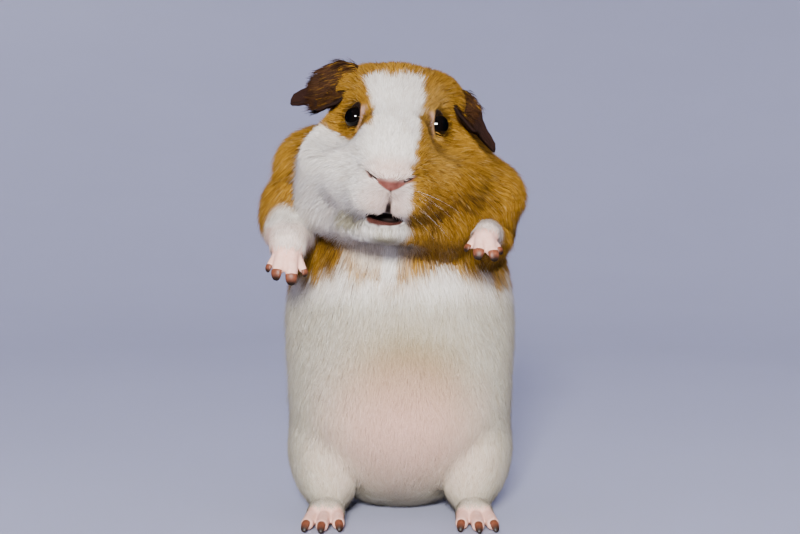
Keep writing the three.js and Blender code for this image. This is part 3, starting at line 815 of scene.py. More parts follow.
def paintAt(points):
    # how much of each colour shows at each point
    local = toHead(points)
    x, y, z = local.T
    _, bodyY, bodyZ = points.T
    ragged = 0.7 * ripples(points, 9, 3) + 0.5 * ripples(points, 3.5, 4)
    streaks = 0.5 + 0.5 * ripples(local @ np.array([[1, 0, 0], [0, 1, 0], [0.9, 0, 1]]), 5, 9)
    m = markings

    def past(distance, edge=m["edge"]):
        # on the near side of a ragged border
        return smooth(-edge, edge, distance + ragged)

    def softPatch(strength, space, centre, radii, softness, streaked=None):
        share = patch(local if space == "head" else points, centre, radii, softness)
        return strength * (share if streaked is None else share * smooth(*streaked, streaks))

    onHead = smooth(-3, 3, overNeck(points) + 16 * (x > 0) + 4)  # lower on the left side
    blazeRight, blazeLeft = (np.interp(z, m["blazeLevels"], m["blaze" + side]) for side in ("Right", "Left"))
    blaze = past(x - blazeRight) * past(blazeLeft - x) * past(m["blazeTop"] - z) * (y < m["blazeBack"])
    blaze = np.maximum(blaze, patch(local, *m["besideRightEye"], 0.2))
    eyePatch = patch(local + ragged[:, None] * 0.6, *m["rightEyePatch"], 0.09)
    rightFace = past(blazeRight + 3 - x) * past(-4.5 - 0.25 * (x + 30) - z) * past(13 - y, 2) * (1 - eyePatch)
    chinWhite = past(m["chinSide"] - x, 1.5) * smooth(-1, 1, -30 - z) * smooth(-2, 2, -8 - y)
    whiteHead = np.clip(blaze + rightFace + chinWhite, 0, 1) * onHead
    border = m["collarFoot"] + 5 * ripples(points, 46, 12) + 3.5 * ragged
    collar = smooth(-4, 4, bodyZ - border + 0.25 * bodyY)
    onRight, onLeft = (smooth(1.5, -0.5, joinForms(points, forms[1:])) for forms in limbs[:2])
    rightCuff = onRight * (1 - past(bodyZ - m["rightCuffTop"], 1.4)) * (bodyY < -20)
    leftCuff = onLeft * (1 - past(bodyY - m["leftCuffBack"], 2))
    strayed = points + np.stack([ripples(points, 34, seed) for seed in (14, 15, 16)], axis=1) * 5
    strayed += ragged[:, None]
    rump = np.max([patch(strayed, *spot, 0.08) for spot in m["rumpPatches"]], axis=0)
    orange = np.maximum(collar, rump)
    orange *= (1 - whiteHead) * (1 - rightCuff) * (1 - leftCuff)
    orange *= 1 - 0.6 * patch(points, *m["throat"], 0.3)
    paint = {name: sum(softPatch(*row) for row in m[name]) for name in ("dark", "pale", "stainAndShade", "blush")}
    # painted shade over the front of the body, below the collar, in the olive-brown of the stains
    paint["stainAndShade"] += m["frontShade"] * smooth(104, 92, bodyZ) * smooth(24, 0, bodyY)
    paint["blush"] += softPatch(*m["rightCuffBlush"]) * rightCuff
    paint["blush"] += m["cuffBlush"] * np.clip(rightCuff + leftCuff, 0, 1)
    paint["blush"] *= 1 - orange
    return {"orange": orange, **{name: np.clip(values, 0, 1) for name, values in paint.items()}}


# the bare skin: how near each form it starts and ends, in millimetres
bareSkin = {
    "noseMiddle": 0.4,
    "padFoot": (-27.2, 0.32, 0.05),  # its level in the middle, and how that rises to the sides
    "padHalf": (6.2, 5.0),
    "padTop": (-20.6, -24.4),
    "wingColour": 0.75,  # for the pad's
    "aboveNose": 0.55,
    "lipsPart": ((-0.2, -31, -36.6), (2.2, 8, 2.6)),
    "ear": (1.6, 0.9),
    "toes": (6.6, 3.4),
    "brow": ((1.7, -4, 5.6), (1.5, 5, 1.8)),  # dark marks round the eye, from its middle
    "corner": ((4.6, -1.5, -5.1), (1.4, 2.4, 0.8)),
    "rim": (5.6, 4.9),
    "rimRise": 0.4,  # taller above the eye
}


def skinPaint(points):
    # colours that only the bare skin has, and what keeps hair away
    b = bareSkin
    local = toHead(points)
    x, y, z = local.T
    mouth, nostril, groove = mouthForm[0](points), joinForms(points, nostrils), joinForms(points, philtrum)
    front = smooth(-20, -24, y)
    off = np.abs(x - b["noseMiddle"])
    padFoot = b["padFoot"][0] + b["padFoot"][1] * off + b["padFoot"][2] * off**2
    nose = front * smooth(-0.35, 0.35, z - padFoot) * smooth(*b["padHalf"], off)
    nose *= smooth(*b["padTop"], z - 0.06 * off)
    wings = front * smooth(1.1, 0.5, nostril) * (z < -19.5)
    aboveNose = front * smooth(9.5, 6, off) * smooth(-16.5, -22, z) * (z > padFoot)
    nose = np.max([nose, b["wingColour"] * wings, b["aboveNose"] * aboveNose], axis=0)
    cleft = front * smooth(0.5 + 0.05 * np.clip(-30 - z, 0, 6), 0.1, groove) * (z > -37)
    # painted shade: the mouth's opening and the nostrils are painted near black, and the cleft half dark,
    # darkening towards the mouth, to deepen these hollows
    dark = np.maximum(smooth(0.42, 0.1, mouth), 0.9 * front * smooth(0.4, 0.05, nostril))
    dark = np.maximum(dark, cleft * (0.5 + 0.5 * smooth(-29, -33, z)))
    lip = smooth(0.65, 0.2, lipForm(points))
    hairless = smooth(0.9, 0.4, nostril) + smooth(0.75, 0.35, groove) + patch(local, *b["lipsPart"], 0.4)
    hairless = np.clip(front * hairless + smooth(1.0, 0.5, mouth) + lip + cleft, 0, 1)
    apart, along, across, which = earNearness(points)
    ear = smooth(*b["ear"], apart)
    toes = smooth(*b["toes"], toeNearness(points))
    lids, lidMark, eyeRoom = np.zeros((3, len(points)))
    for side in (1, -1):
        eye, aim = eyeAt(side)
        offset, aim = local - eye, unit(aim)
        height = offset @ aim
        out = np.linalg.norm(offset - height[:, None] * aim, axis=1)
        noseward = smooth(1.5, -1.5, offset[:, 0] * side)
        ahead = smooth(-1, 1, height)
        lid = ahead * smooth(12.5, 9, out) * noseward * smooth(6.5, 3.5, np.abs(offset[:, 2]))
        lids = np.maximum(lids, lid)
        eyeRoom = np.maximum(eyeRoom, ahead * smooth(10.5, 9.5, out) * noseward)  # no hair starts so near
        mirror = np.array((side, 1, 1))
        brow = patch(offset * mirror, *b["brow"], 0.3)
        corner = patch(offset * mirror, *b["corner"], 0.4)
        upward = np.clip(offset[:, 2], 0, 6)
        rim = smooth(*b["rim"], np.sqrt(np.maximum(out**2 - b["rimRise"] * upward**2, 0))) * ahead
        lidMark = np.max([lidMark, brow, 0.6 * corner, rim], axis=0)
    return {"nose": nose, "mouth": dark, "lip": lip, "hairless": hairless, "ear": ear, "earAlong": along,
            "earAcross": across, "earSide": which, "toes": toes, "lids": lids, "lidMark": lidMark,
            "eyeRoom": eyeRoom}


def setAttribute(mesh, name, values, kind="FLOAT"):
    attribute = mesh.attributes.new(name, kind, "POINT")
    values = np.asarray(values, np.float32).ravel()
    attribute.data.foreach_set("value" if kind == "FLOAT" else "vector", values)


skinPlaces = vertexPlaces(skin.data)
coatPaint, barePaint = paintAt(skinPlaces), skinPaint(skinPlaces)
for name, values in {**coatPaint, **barePaint}.items():
    setAttribute(skin.data, name, values)
report("markings painted")

# fur: every tuft is a thin closed spindle laid along the body
coat = {
    "share": 1.0,  # of the full number of tufts
    "sunk": 0.35,  # roots start this far inside the skin
    "flow": 0.22,  # how much the lie wanders in broad swirls
    "stray": 0.12,  # and from tuft to tuft
    "clump": 0.3,  # how far tips draw together
    "tuftsPerClump": 9,
    "ridge": 0.35,  # a tuft's thickness for its width
    "rise": 0.5,  # the height of its middle for that of its tip
    "tickedShare": 0.07,  # tufts of the orange that are dark, and as many that are pale
    "darkTick": 0.7,
    "paleTick": 0.9,
    "guardShare": 0.07,  # thin, long hairs that stand out a little
    "guard": {"length": 1.25, "width": 0.45, "height": 1.3},  # for other tufts'
    "spread": {"length": (0.7, 1.15), "width": (0.75, 1.25), "height": (0.45, 1.0)},
    "waist": 0.42,  # where a tuft is widest, for its length
    "clumpReach": 3.5,
    "roundness": 0.7,  # how far the shading turns from the skin's to the tuft's own
    "bakePatch": 0.003,  # size of a tuft's place on its map
}
earHair = {
    "crowd": 7.5,
    "length": (3.8, 6.5),
    "width": 0.3,
    "height": 0.8,
    "droop": 0.25,
    "hairyTo": (0.5, 0.3),  # how far along the right and the left ear it grows
    "streak": 3.2,  # size of its light and dark streaks
    "darkening": (-1.7, 0, 1.6),  # streaks from light to dark, and how much darker it grows to the tip
}

skin.data.calc_loop_triangles()
triangles = readAll(skin.data.loop_triangles, "vertices", 3, np.int32)
skinNormals = readAll(skin.data.vertex_normals, "vector", 3).astype(float)
corners = skinPlaces[triangles]
areas = np.linalg.norm(np.cross(corners[:, 1] - corners[:, 0], corners[:, 2] - corners[:, 0]), axis=1) / 2
middles = corners.mean(axis=1)
onTriangle = {name: values[triangles].mean(axis=1) for name, values in barePaint.items()}
bare = sum(onTriangle[name] for name in ("hairless", "lidMark", "toes", "lids", "eyeRoom"))
bare += smooth(0.5, 0.9, onTriangle["nose"])
onEar = onTriangle["ear"] > 0.35
hairyTo = np.where(onTriangle["earSide"] < 0, *earHair["hairyTo"])
crowd = coatAt(middles, "crowd")[:, 0] * np.clip(1 - bare, 0, 1)
earCrowd = earHair["crowd"] * smooth(0.1, -0.06, onTriangle["earAlong"] - hairyTo)
earCrowd *= smooth(0.49, 0.44, np.abs(onTriangle["earAcross"] - 0.5))  # none stands on the rims
crowd = np.where(onEar, earCrowd, crowd)
crowd *= middles[:, 2] > ground["bareBelow"]  # none under the soles and the rump
expected = crowd * areas * coat["share"]
home = np.repeat(np.arange(len(triangles)), np.floor(expected + dice.random(len(expected))).astype(int))
u, v = dice.random((2, len(home)))
fold = u + v > 1
u[fold], v[fold] = 1 - u[fold], 1 - v[fold]
weights = np.stack([1 - u - v, u, v], axis=1)


def onSkin(values):
    return (values[triangles[home]] * weights.reshape(weights.shape + (1,) * (values.ndim - 1))).sum(axis=1)


roots = onSkin(skinPlaces)
normals = unit(onSkin(skinNormals))
hair = coatAt(roots, "all")
lie = unit(hair[:, :3])
length, depth, width = hair[:, 3], hair[:, 4], hair[:, 6]
colours = {name: onSkin(values) for name, values in coatPaint.items()}
rootsOnEar = onEar[home]
light, dark, toTip = earHair["darkening"]
for side, spec in ears["sides"].items():
    mine = rootsOnEar & (np.sign(onTriangle["earSide"][home]) == side)
    lie[mine] = headTurn @ spec["toTip"] - (0, 0, earHair["droop"])
    streaks = ripples(roots[mine], earHair["streak"], 50) + dice.normal(0, 0.35, mine.sum())
    colours["dark"][mine] = smooth(light, dark, streaks + toTip * onTriangle["earAlong"][home][mine])
    colours["orange"][mine] = 1
ticks = dice.random(len(roots))
onOrange = (colours["orange"] > 0.5) & ~rootsOnEar
colours["dark"][onOrange & (ticks < coat["tickedShare"])] = coat["darkTick"]
colours["pale"][onOrange & (ticks > 1 - coat["tickedShare"])] = coat["paleTick"]
length = np.where(rootsOnEar, dice.uniform(*earHair["length"], len(roots)), length)
depth = np.where(rootsOnEar, earHair["height"], depth)
width = np.where(rootsOnEar, earHair["width"], width)
swirl = np.stack([ripples(roots, 22, 30 + n) for n in range(3)], axis=1)
lie = unit(lie) + coat["flow"] * swirl + coat["stray"] * dice.normal(size=lie.shape)
lie = unit(lie - normals * (lie * normals).sum(axis=1)[:, None])
guard = dice.random(len(roots)) < coat["guardShare"]
length, width, height = (
    values * dice.uniform(*coat["spread"][name], len(roots)) * np.where(guard, coat["guard"][name], 1)
    for name, values in (("length", length), ("width", width), ("height", depth))
)
report(f"{len(home)} roots placed")


def layDown(points, wanted):
    # brings points back to their height over the skin, so that tufts follow its curves
    over = hairyField(points)
    return points + normals * np.where(rootsOnEar, 0, np.clip(wanted - over, -3, 3))[:, None]


tips = layDown(roots + lie * length[:, None] + normals * height[:, None], height)
lift = height * coat["rise"]
waists = layDown(roots + lie * (coat["waist"] * length)[:, None] + normals * lift[:, None], lift)

# tips draw towards the middle of their clump
clumpCount = max(1, len(roots) // coat["tuftsPerClump"])
seeds = dice.choice(len(roots), clumpCount, replace=False)
tree = KDTree(clumpCount)
for n, seed in enumerate(seeds):
    tree.insert(Vector(roots[seed]), n)
tree.balance()
clump = np.array([tree.find(Vector(root))[1] for root in roots])
leader = seeds[clump]
shift = (tips[leader] - roots) * (length / np.maximum(length[leader], 0.1))[:, None]
near = np.linalg.norm(roots[leader] - roots, axis=1) < coat["clumpReach"]
pull = coat["clump"] * dice.uniform(0.3, 1, len(roots)) * near
tips += (roots + shift - tips) * pull[:, None]
for places in (tips, waists):
    places[:, 2] = np.maximum(places[:, 2], ground["hairAbove"])
tone = np.clip(0.45 * dice.random(clumpCount)[clump] + 0.55 * dice.random(len(roots)), 0, 1)
report("tufts combed")

along = unit(tips - roots)
flank = unit(np.cross(normals, along))
ridge = np.cross(along, flank)
tuftPoints = np.stack([
    roots - normals * coat["sunk"],
    waists + flank * (width / 2)[:, None],
    waists - flank * (width / 2)[:, None],
    waists + ridge * (width * coat["ridge"])[:, None],
    tips,
], axis=1)
tuftFaces = np.array([(0, 1, 2), (0, 3, 1), (0, 2, 3), (4, 2, 1), (4, 1, 3), (4, 3, 2)])
# shading follows the body first and the tuft second, so the coat reads as soft hair
tuftNormals = unit(np.stack([
    normals,
    normals + flank * coat["roundness"],
    normals - flank * coat["roundness"],
    normals,
    normals + along * coat["roundness"] * 0.5,
], axis=1))
tuftPatch = np.array([(-0.5, 0), (0, 0.5), (0, -0.5), (0.12, 0.05), (0.5, 0)]) * coat["bakePatch"]


def coatRegion(points):
    # which coat piece a root belongs to
    x, y, z = points.T
    local = toHead(points)
    front, low, high = y < 2, z < 46, z >= 98
    onHead = overNeck(points) > 0
    brow = onHead & (local[:, 1] < 6)
    cheeks = brow & (local[:, 2] < -10)
    region = np.full(len(points), "backCoat", dtype=object)
    for name, where in {  # each takes over what an earlier one held
        "rumpCoat": z < 52, "bellyCoat": front & (z < 98),
        "hindlegCoatLeft": front & low, "hindlegCoatRight": front & low & (x < 0),
        "shoulderCoat": high, "chestCoat": front & high, "neckCoat": z >= 124,
        "crownCoat": onHead, "browCoat": brow,
        "cheekCoatLeft": cheeks, "cheekCoatRight": cheeks & (local[:, 0] < 0), "earCoat": rootsOnEar,
    }.items():
        region[where] = name
    return region


def unwrapOf(rows, name):
    # the skin's own triangles for one coat piece, unfolded to fill the map
    used, faces = np.unique(triangles[rows], return_inverse=True)
    piece = meshFrom(name, skinPlaces[used], faces.reshape(-1, 3))
    piece.data.uv_layers.new(name="unfold")
    bpy.context.view_layer.objects.active = piece
    bpy.ops.object.select_all(action="DESELECT")
    piece.select_set(True)
    bpy.ops.object.mode_set(mode="EDIT")
    bpy.ops.mesh.select_all(action="SELECT")
    bpy.ops.uv.smart_project(angle_limit=math.radians(72), island_margin=0.001, scale_to_bounds=True)
    bpy.ops.object.mode_set(mode="OBJECT")
    unfolded = readAll(piece.data.uv_layers["unfold"].data, "uv", 2).reshape(-1, 3, 2)
    bpy.data.objects.remove(piece)
    return unfolded


def growCoat(name, chosen):
    count = len(chosen)
    rows, place = np.unique(home[chosen], return_inverse=True)
    unfolded = unwrapOf(rows, name + "Unfold")
    spots = (unfolded[place] * weights[chosen][:, :, None]).sum(axis=1)
    spots = coat["bakePatch"] / 2 + spots * (1 - coat["bakePatch"])
    faces = (tuftFaces[None] + 5 * np.arange(count)[:, None, None]).reshape(-1, 3)
    piece = meshFrom(name, toWorld(tuftPoints[chosen].reshape(-1, 3)), faces)
    uvs = spots[:, None, None, :] + tuftPatch[tuftFaces][None]
    layer = piece.data.uv_layers.new(name="OFBake")
    layer.data.foreach_set("uv", uvs.astype(np.float32).ravel())
    for label, values in {**colours, "tone": tone}.items():
        setAttribute(piece.data, label, np.repeat(values[chosen], 5))
    setAttribute(piece.data, "along", np.tile((0, *[coat["waist"]] * 3, 1), count))
    setAttribute(piece.data, "custom_normal", tuftNormals[chosen], "FLOAT_VECTOR")
    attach(piece, rootBody)
    return piece


coatSlots = {
    "cheekCoatRight": "white_coat",
    "cheekCoatLeft": "orange_coat",
    "browCoat": "white_coat",
    "crownCoat": "orange_coat",
    "earCoat": "orange_coat",
    "neckCoat": "orange_coat",
    "shoulderCoat": "orange_coat",
    "chestCoat": "orange_coat",
    "bellyCoat": "white_coat",
    "hindlegCoatLeft": "white_coat",
    "hindlegCoatRight": "white_coat",
    "backCoat": "white_coat",
    "rumpCoat": "white_coat",
}
regions = coatRegion(roots)
coatPieces = {}
for name, slot in coatSlots.items():
    chosen = np.nonzero(regions == name)[0]
    coatPieces[name] = growCoat(name, chosen)
    report(f"{name}, {len(chosen)} tufts")


# node helpers
def feed(tree, sockets, values):
    # each value is a number, a colour or another node's socket
    for name, value in values.items():
        if isinstance(value, bpy.types.NodeSocket):
            tree.links.new(value, sockets[name])
        elif isinstance(value, tuple) and len(value) == 3:
            sockets[name].default_value = (*value, 1)
        else:
            sockets[name].default_value = value


def addNode(tree, kind, values):
    node = tree.nodes.new("ShaderNode" + kind)
    feed(tree, node.inputs, values)
    return node


def newMaterial(name, values):
    material = bpy.data.materials.new(name)
    material.use_nodes = True
    shader = material.node_tree.nodes["Principled BSDF"].inputs
    feed(material.node_tree, shader, values)
    return material, material.node_tree, shader


def mixColour(tree, factor, first, second, mode="MIX"):
    mix = tree.nodes.new("ShaderNodeMix")
    mix.data_type, mix.blend_type, mix.clamp_factor = "RGBA", mode, True
    feed(tree, mix.inputs, {0: factor, 6: first, 7: second})
    return mix.outputs[2]


def calculate(tree, operation, *values):
    node = addNode(tree, "Math", dict(enumerate(values)))
    node.operation = operation
    return node.outputs[0]


def attributeOf(tree, name):
    node = tree.nodes.new("ShaderNodeAttribute")
    node.attribute_name = name
    return node.outputs["Fac"]


def objectPlace(tree):
    return tree.nodes.new("ShaderNodeTexCoord").outputs["Object"]


def useGroup(tree, group, values):
    node = tree.nodes.new("ShaderNodeGroup")
    node.node_tree = group
    feed(tree, node.inputs, values)
    return node.outputs


def newGroup(name, inputs, outputs):
    group = bpy.data.node_groups.new(name, "ShaderNodeTree")
    for way, sockets in (("INPUT", inputs), ("OUTPUT", outputs)):
        for label, kind in sockets.items():
            group.interface.new_socket(label, in_out=way, socket_type="NodeSocket" + kind)
    return group, group.nodes.new("NodeGroupInput").outputs, group.nodes.new("NodeGroupOutput").inputs


# colours of the coat, for the skin and for every tuft
furColours = {
    "white": ((0.58, 0.49, 0.40), (0.89, 0.84, 0.75)),  # deep and light
    "orange": ((0.13, 0.050, 0.003), (0.47, 0.235, 0.018)),
    "paleOrange": (0.44, 0.26, 0.07),
    # brown: the real dark hair of the ears and of ticked tufts, and the painted shade of the dark patches
    "brown": ((0.010, 0.004, 0.0015), (0.052, 0.019, 0.005)),
    # olive-brown, partly real stains and partly painted shade with a painted greenish reflection
    "stainAndShade": (0.20, 0.17, 0.065),
    "blush": (0.64, 0.37, 0.28),
    "rootShade": 0.5,  # how bright a hair's root is beside its tip; the darker root is partly a darker undercoat and partly painted shade deep in the coat
}
maskNames = ("orange", "dark", "pale", "stainAndShade", "blush")


def coatMarkingGroup():
    inputs = {name.capitalize(): "Float" for name in (*maskNames, "tone", "along")}
    tree, given, out = newGroup("coatMarking", inputs, {"Color": "Color"})
    c = furColours
    white, orange, brown = (mixColour(tree, given["Tone"], *c[name]) for name in ("white", "orange", "brown"))
    orange = mixColour(tree, given["Pale"], orange, c["paleOrange"])
    colour = white
    for mask, paint in (("Orange", orange), ("Dark", brown), ("Stainandshade", c["stainAndShade"]), ("Blush", c["blush"])):
        colour = mixColour(tree, given[mask], colour, paint)
    shade = calculate(tree, "MULTIPLY_ADD", given["Along"], 1 - c["rootShade"], c["rootShade"])
    feed(tree, out, {"Color": mixColour(tree, 1.0, colour, shade, "MULTIPLY")})
    return tree


def skinGrainGroup():
    # fine pores and creases, as a height for a bump, and soft blotches
    tree, given, out = newGroup("skinGrain", {"Place": "Vector", "Scale": "Float"},
                                {"Height": "Float", "Mottle": "Float"})
    pores = addNode(tree, "TexVoronoi", {})
    creases, mottle = (addNode(tree, "TexNoise", {"Detail": detail}) for detail in (4, 3))
    for node, share in ((pores, 1.6), (creases, 1.0), (mottle, 0.45)):
        scale = calculate(tree, "MULTIPLY", given["Scale"], share)
        feed(tree, node.inputs, {"Vector": given["Place"], "Scale": scale})
    height = calculate(tree, "ADD", pores.outputs["Distance"], creases.outputs["Fac"])
    feed(tree, out, {"Height": height, "Mottle": mottle.outputs["Fac"]})
    return tree


coatMarking, skinGrain = coatMarkingGroup(), skinGrainGroup()


def markingColour(tree, tone, alongHair):
    masks = {name.capitalize(): attributeOf(tree, name) for name in maskNames}
    return useGroup(tree, coatMarking, {**masks, "Tone": tone, "Along": alongHair})["Color"]


def furMaterial():
    material, tree, shader = newMaterial("fur", {"Roughness": 0.75, "Specular IOR Level": 0.08})
    colour = markingColour(tree, attributeOf(tree, "tone"), attributeOf(tree, "along"))
    feed(tree, shader, {"Base Color": colour})
    return material


bareColours = {  # deep and light, laid over each other in this order
    "toes": ((0.60, 0.30, 0.21), (0.72, 0.45, 0.36)),
    "lids": ((0.16, 0.085, 0.06), (0.30, 0.18, 0.145)),
    "ear": ((0.007, 0.003, 0.002), (0.016, 0.0055, 0.003)),  # at the root and at the tip
    "nose": ((0.09, 0.024, 0.017), (0.20, 0.068, 0.050)),
    # painted shade: near black for the mouth's opening, the nostrils and the cleft
    "mouth": (0.010, 0.005, 0.004),
    "lip": ((0.022, 0.008, 0.006), (0.070, 0.024, 0.018)),
    "lidMark": (0.012, 0.007, 0.006),
}
skinFinishing = {
    "shader": {"Specular IOR Level": 0.5, "IOR": 1.2},
    "grain": 900.0,
    "bump": {"Strength": 0.5, "Distance": 0.00025},
    "alongHair": 0.2,  # the skin under the hair is as dark as hair this near its root: painted shade under the coat
    "roughness": 0.62,
    "earRougher": 0.33,
    "wetGloss": -0.3,  # on the lips and round the eyes
}


def skinMaterial():
    f = skinFinishing
    material, tree, shader = newMaterial("skin", f["shader"])
    grain = useGroup(tree, skinGrain, {"Place": objectPlace(tree), "Scale": f["grain"]})
    colour = markingColour(tree, grain["Mottle"], f["alongHair"])
    shares = {"ear": attributeOf(tree, "earAlong")}
    for name, paint in bareColours.items():
        if isinstance(paint[0], tuple):
            paint = mixColour(tree, shares.get(name, grain["Mottle"]), *paint)
        colour = mixColour(tree, attributeOf(tree, name), colour, paint)
    bump = addNode(tree, "Bump", {**f["bump"], "Height": grain["Height"]})
    wet = calculate(tree, "MAXIMUM", attributeOf(tree, "lip"), attributeOf(tree, "lidMark"))
    dry = calculate(tree, "MULTIPLY_ADD", attributeOf(tree, "ear"), f["earRougher"], f["roughness"])
    roughness = calculate(tree, "MULTIPLY_ADD", wet, f["wetGloss"], dry)
    feed(tree, shader, {"Base Color": colour, "Normal": bump.outputs["Normal"], "Roughness": roughness})
    return material


eyeColours = {"pupil": (0.0008, 0.001, 0.0014), "iris": (0.0022, 0.0016, 0.0016)}


def eyeMaterial():
    gloss = {"Roughness": 0.03, "Specular IOR Level": 0.5, "IOR": 1.4}
    material, tree, shader = newMaterial("eyeGloss", gloss)
    colour = mixColour(tree, attributeOf(tree, "iris"), eyeColours["pupil"], eyeColours["iris"])
    feed(tree, shader, {"Base Color": colour})
    return material


clawColours = {
    "horn": ((0.085, 0.022, 0.009), (0.19, 0.058, 0.026)),
    "tip": (0.012, 0.006, 0.004),
    "paleHorn": ((0.50, 0.36, 0.24), (0.66, 0.52, 0.40)),
    "darkFrom": {"From Min": 0.45, "From Max": 0.85},  # how far along a claw its dark tip starts and is full
    "grain": 700.0,
}


def clawMaterial():
    c = clawColours
    material, tree, shader = newMaterial("horn", {"Roughness": 0.48, "Specular IOR Level": 0.3})
    tip = addNode(tree, "MapRange", {**c["darkFrom"], "Value": attributeOf(tree, "along")})
    grain = useGroup(tree, skinGrain, {"Place": objectPlace(tree), "Scale": c["grain"]})
    horn = mixColour(tree, grain["Mottle"], *c["horn"])
    horn = mixColour(tree, tip.outputs["Result"], horn, c["tip"])
    pale = mixColour(tree, grain["Mottle"], *c["paleHorn"])
    feed(tree, shader, {"Base Color": mixColour(tree, attributeOf(tree, "paleHorn"), horn, pale)})
    return material


skinFinish, furFinish, eyeFinish, clawFinish = skinMaterial(), furMaterial(), eyeMaterial(), clawMaterial()
skin.data.materials.clear()
skin.data.materials.append(skinFinish)
for piece in coatPieces.values():
    piece.data.materials.append(furFinish)
movePoints(skin.data, toWorld(skinPlaces))  # from the forms' millimetres to the frame's metres
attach(skin, rootBody)
eyeNodes = {"eye_right": -1, "eye_left": 1}
clawNodes = [name for name in frame["nodes"] if name.startswith("claw_")]
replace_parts(skin, *[name for name in frame["nodes"] if name not in eyeNodes and name not in clawNodes])
report("skin finished")

# eyes: a ball with a clear bulge in front
eyeball = {
    "radius": 5.3,
    "corneaRadius": 4.6,
    "corneaForward": 1.8,
    "pupil": (0.42, 0.54),  # its soft edge, as an angle from the middle
    "rings": 44,
    "segments": 64,
}


def around(count):
    return np.arange(count) * 2 * math.pi / count


def squareTo(aim):
    # two directions square to aim, the first one level
    across = unit(np.cross(aim, (0, 0, 1)))
    return across, np.cross(across, aim)


def growEye(name, side):
    eye, aim = eyeAt(side)
    centre, aim = fromHead(eye), unit(headTurn @ aim)
    across, above = squareTo(aim)
    ways = np.linspace(0, math.pi, eyeball["rings"]), around(eyeball["segments"])
    tilt, turn = np.meshgrid(*ways, indexing="ij")
    forward = eyeball["corneaForward"]
    cornea = forward * np.cos(tilt) + np.sqrt(eyeball["corneaRadius"] ** 2 - (forward * np.sin(tilt)) ** 2)
    reach = softMax(np.full_like(tilt, eyeball["radius"]), cornea, 0.25)
    out = np.cos(turn)[..., None] * across + np.sin(turn)[..., None] * above
    places = centre + (np.cos(tilt)[..., None] * aim + np.sin(tilt)[..., None] * out) * reach[..., None]
    piece = meshFrom(name, toWorld(places.reshape(-1, 3)), gridFaces(*tilt.shape))
    setAttribute(piece.data, "iris", smooth(*eyeball["pupil"], tilt).ravel())
    rework(piece, closeEnds)
    piece.data.materials.append(eyeFinish)
    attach(piece, rootBody)
    return piece


for node, side in eyeNodes.items():
    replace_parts(growEye("eyeRight" if side < 0 else "eyeLeft", side), node)
report("eyes set")

# claws: broad and blunt, with dark tips
claws = {
    "length": {"fore": 1.45, "hind": 1.75},  # for the toe's thickness, as the next four
    "across": {"fore": 0.84, "hind": 0.58},
    "up": 0.5,
    "forward": 0.47,
    "lift": 0.28,
    "droop": 0.42,  # for the claw's length
    "blunt": 3.2,
    "sole": 0.55,  # the height of the under side for that of the top
    "paleBelow": 1.8,  # toes thinner than this have pale claws
    "rings": 14,
    "sides": 18,
}


def growClaws(name, toes, kind, nodes):
    t, turn = np.meshgrid(np.linspace(0, 1, claws["rings"]), around(claws["sides"]), indexing="ij")
    points, faces, pale = [], [], []
    for n, (root, end, thickness) in enumerate(toes):
        root, end = np.array(root, float), np.array(end, float)
        aim = unit(end - root)
        side, top = squareTo(aim)
        length = claws["length"][kind] * thickness
        start = end + aim * thickness * claws["forward"] + top * thickness * claws["lift"]
        middle = start + t[..., None] * length * aim - (claws["droop"] * length * t * t)[..., None] * top
        taper = np.sqrt(np.maximum(1 - t ** claws["blunt"], 0))[..., None] * thickness
        flat = np.where(np.sin(turn) < 0, claws["sole"], 1.0)[..., None]
        places = middle + taper * (claws["across"][kind] * np.cos(turn)[..., None] * side
                                   + claws["up"] * flat * np.sin(turn)[..., None] * top)
        points.append(places.reshape(-1, 3))
        faces.append(gridFaces(*t.shape, n * t.size))
        pale.append(np.full(t.size, float(thickness < claws["paleBelow"])))
    piece = meshFrom(name, toWorld(np.concatenate(points)), np.concatenate(faces))
    setAttribute(piece.data, "along", np.tile(t.ravel(), len(toes)))
    setAttribute(piece.data, "paleHorn", np.concatenate(pale))
    rework(piece, closeEnds)
    piece.data.materials.append(clawFinish)
    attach(piece, rootBody)
    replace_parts(piece, *nodes)


for sideName, side in (("right", -1), ("left", 1)):
    for kind, toes in (("fore", forelegs[sideName]["toes"]), ("hind", hindToes(side))):
        wanted = [name for name in clawNodes if name.startswith(f"claw_{kind}_{sideName}")]
        growClaws(kind + "Claws" + sideName.capitalize(), toes, kind, wanted)
report("claws set")

# whiskers: fine pale hairs from the upper lips
whiskers = {
    "perSide": 8,
    "across": (5.5, 11.5), "level": (-33.5, -24.5),  # where their roots lie on the face
    "length": (12, 23),
    "aim": [(0.75, 1), (-0.25, 0.35), (-0.55, 0.05)],  # outward, backward and up
    "thickness": 0.019,
    "taper": 0.8,
    "sag": 0.22,
    "rings": 9,
    "sides": 3,
}


def growWhiskers():
    t = np.linspace(0, 1, whiskers["rings"])
    turn = around(whiskers["sides"])[:, None]
    points, faces = [], []
    for side in (1, -1):
        for _ in range(whiskers["perSide"]):
            x, z = dice.uniform(*whiskers["across"]), dice.uniform(*whiskers["level"])
            root = fromHead(onFace(side * x, z, 0.8))
            outward, backward, upward = (dice.uniform(*span) for span in whiskers["aim"])
            aim = unit(headTurn @ (side * outward, backward, upward))
            length = dice.uniform(*whiskers["length"])
            middle = root + t[:, None] * length * aim
            middle[:, 2] -= whiskers["sag"] * length * t**2
            across, above = squareTo(aim)
            size = whiskers["thickness"] * (1 - whiskers["taper"] * t)
            loop = np.cos(turn) * across + np.sin(turn) * above
            faces.append(gridFaces(len(t), len(turn), len(t) * len(turn) * len(points)))
            points.append((middle[:, None] + size[:, None, None] * loop).reshape(-1, 3))
    piece = meshFrom("whiskers", toWorld(np.concatenate(points)), np.concatenate(faces))
    for label in ("tone", "along"):
        setAttribute(piece.data, label, np.ones(len(piece.data.vertices)))
    rework(piece, closeEnds)
    piece.data.materials.append(furFinish)
    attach(piece, rootBody)


growWhiskers()
report("whiskers grown")

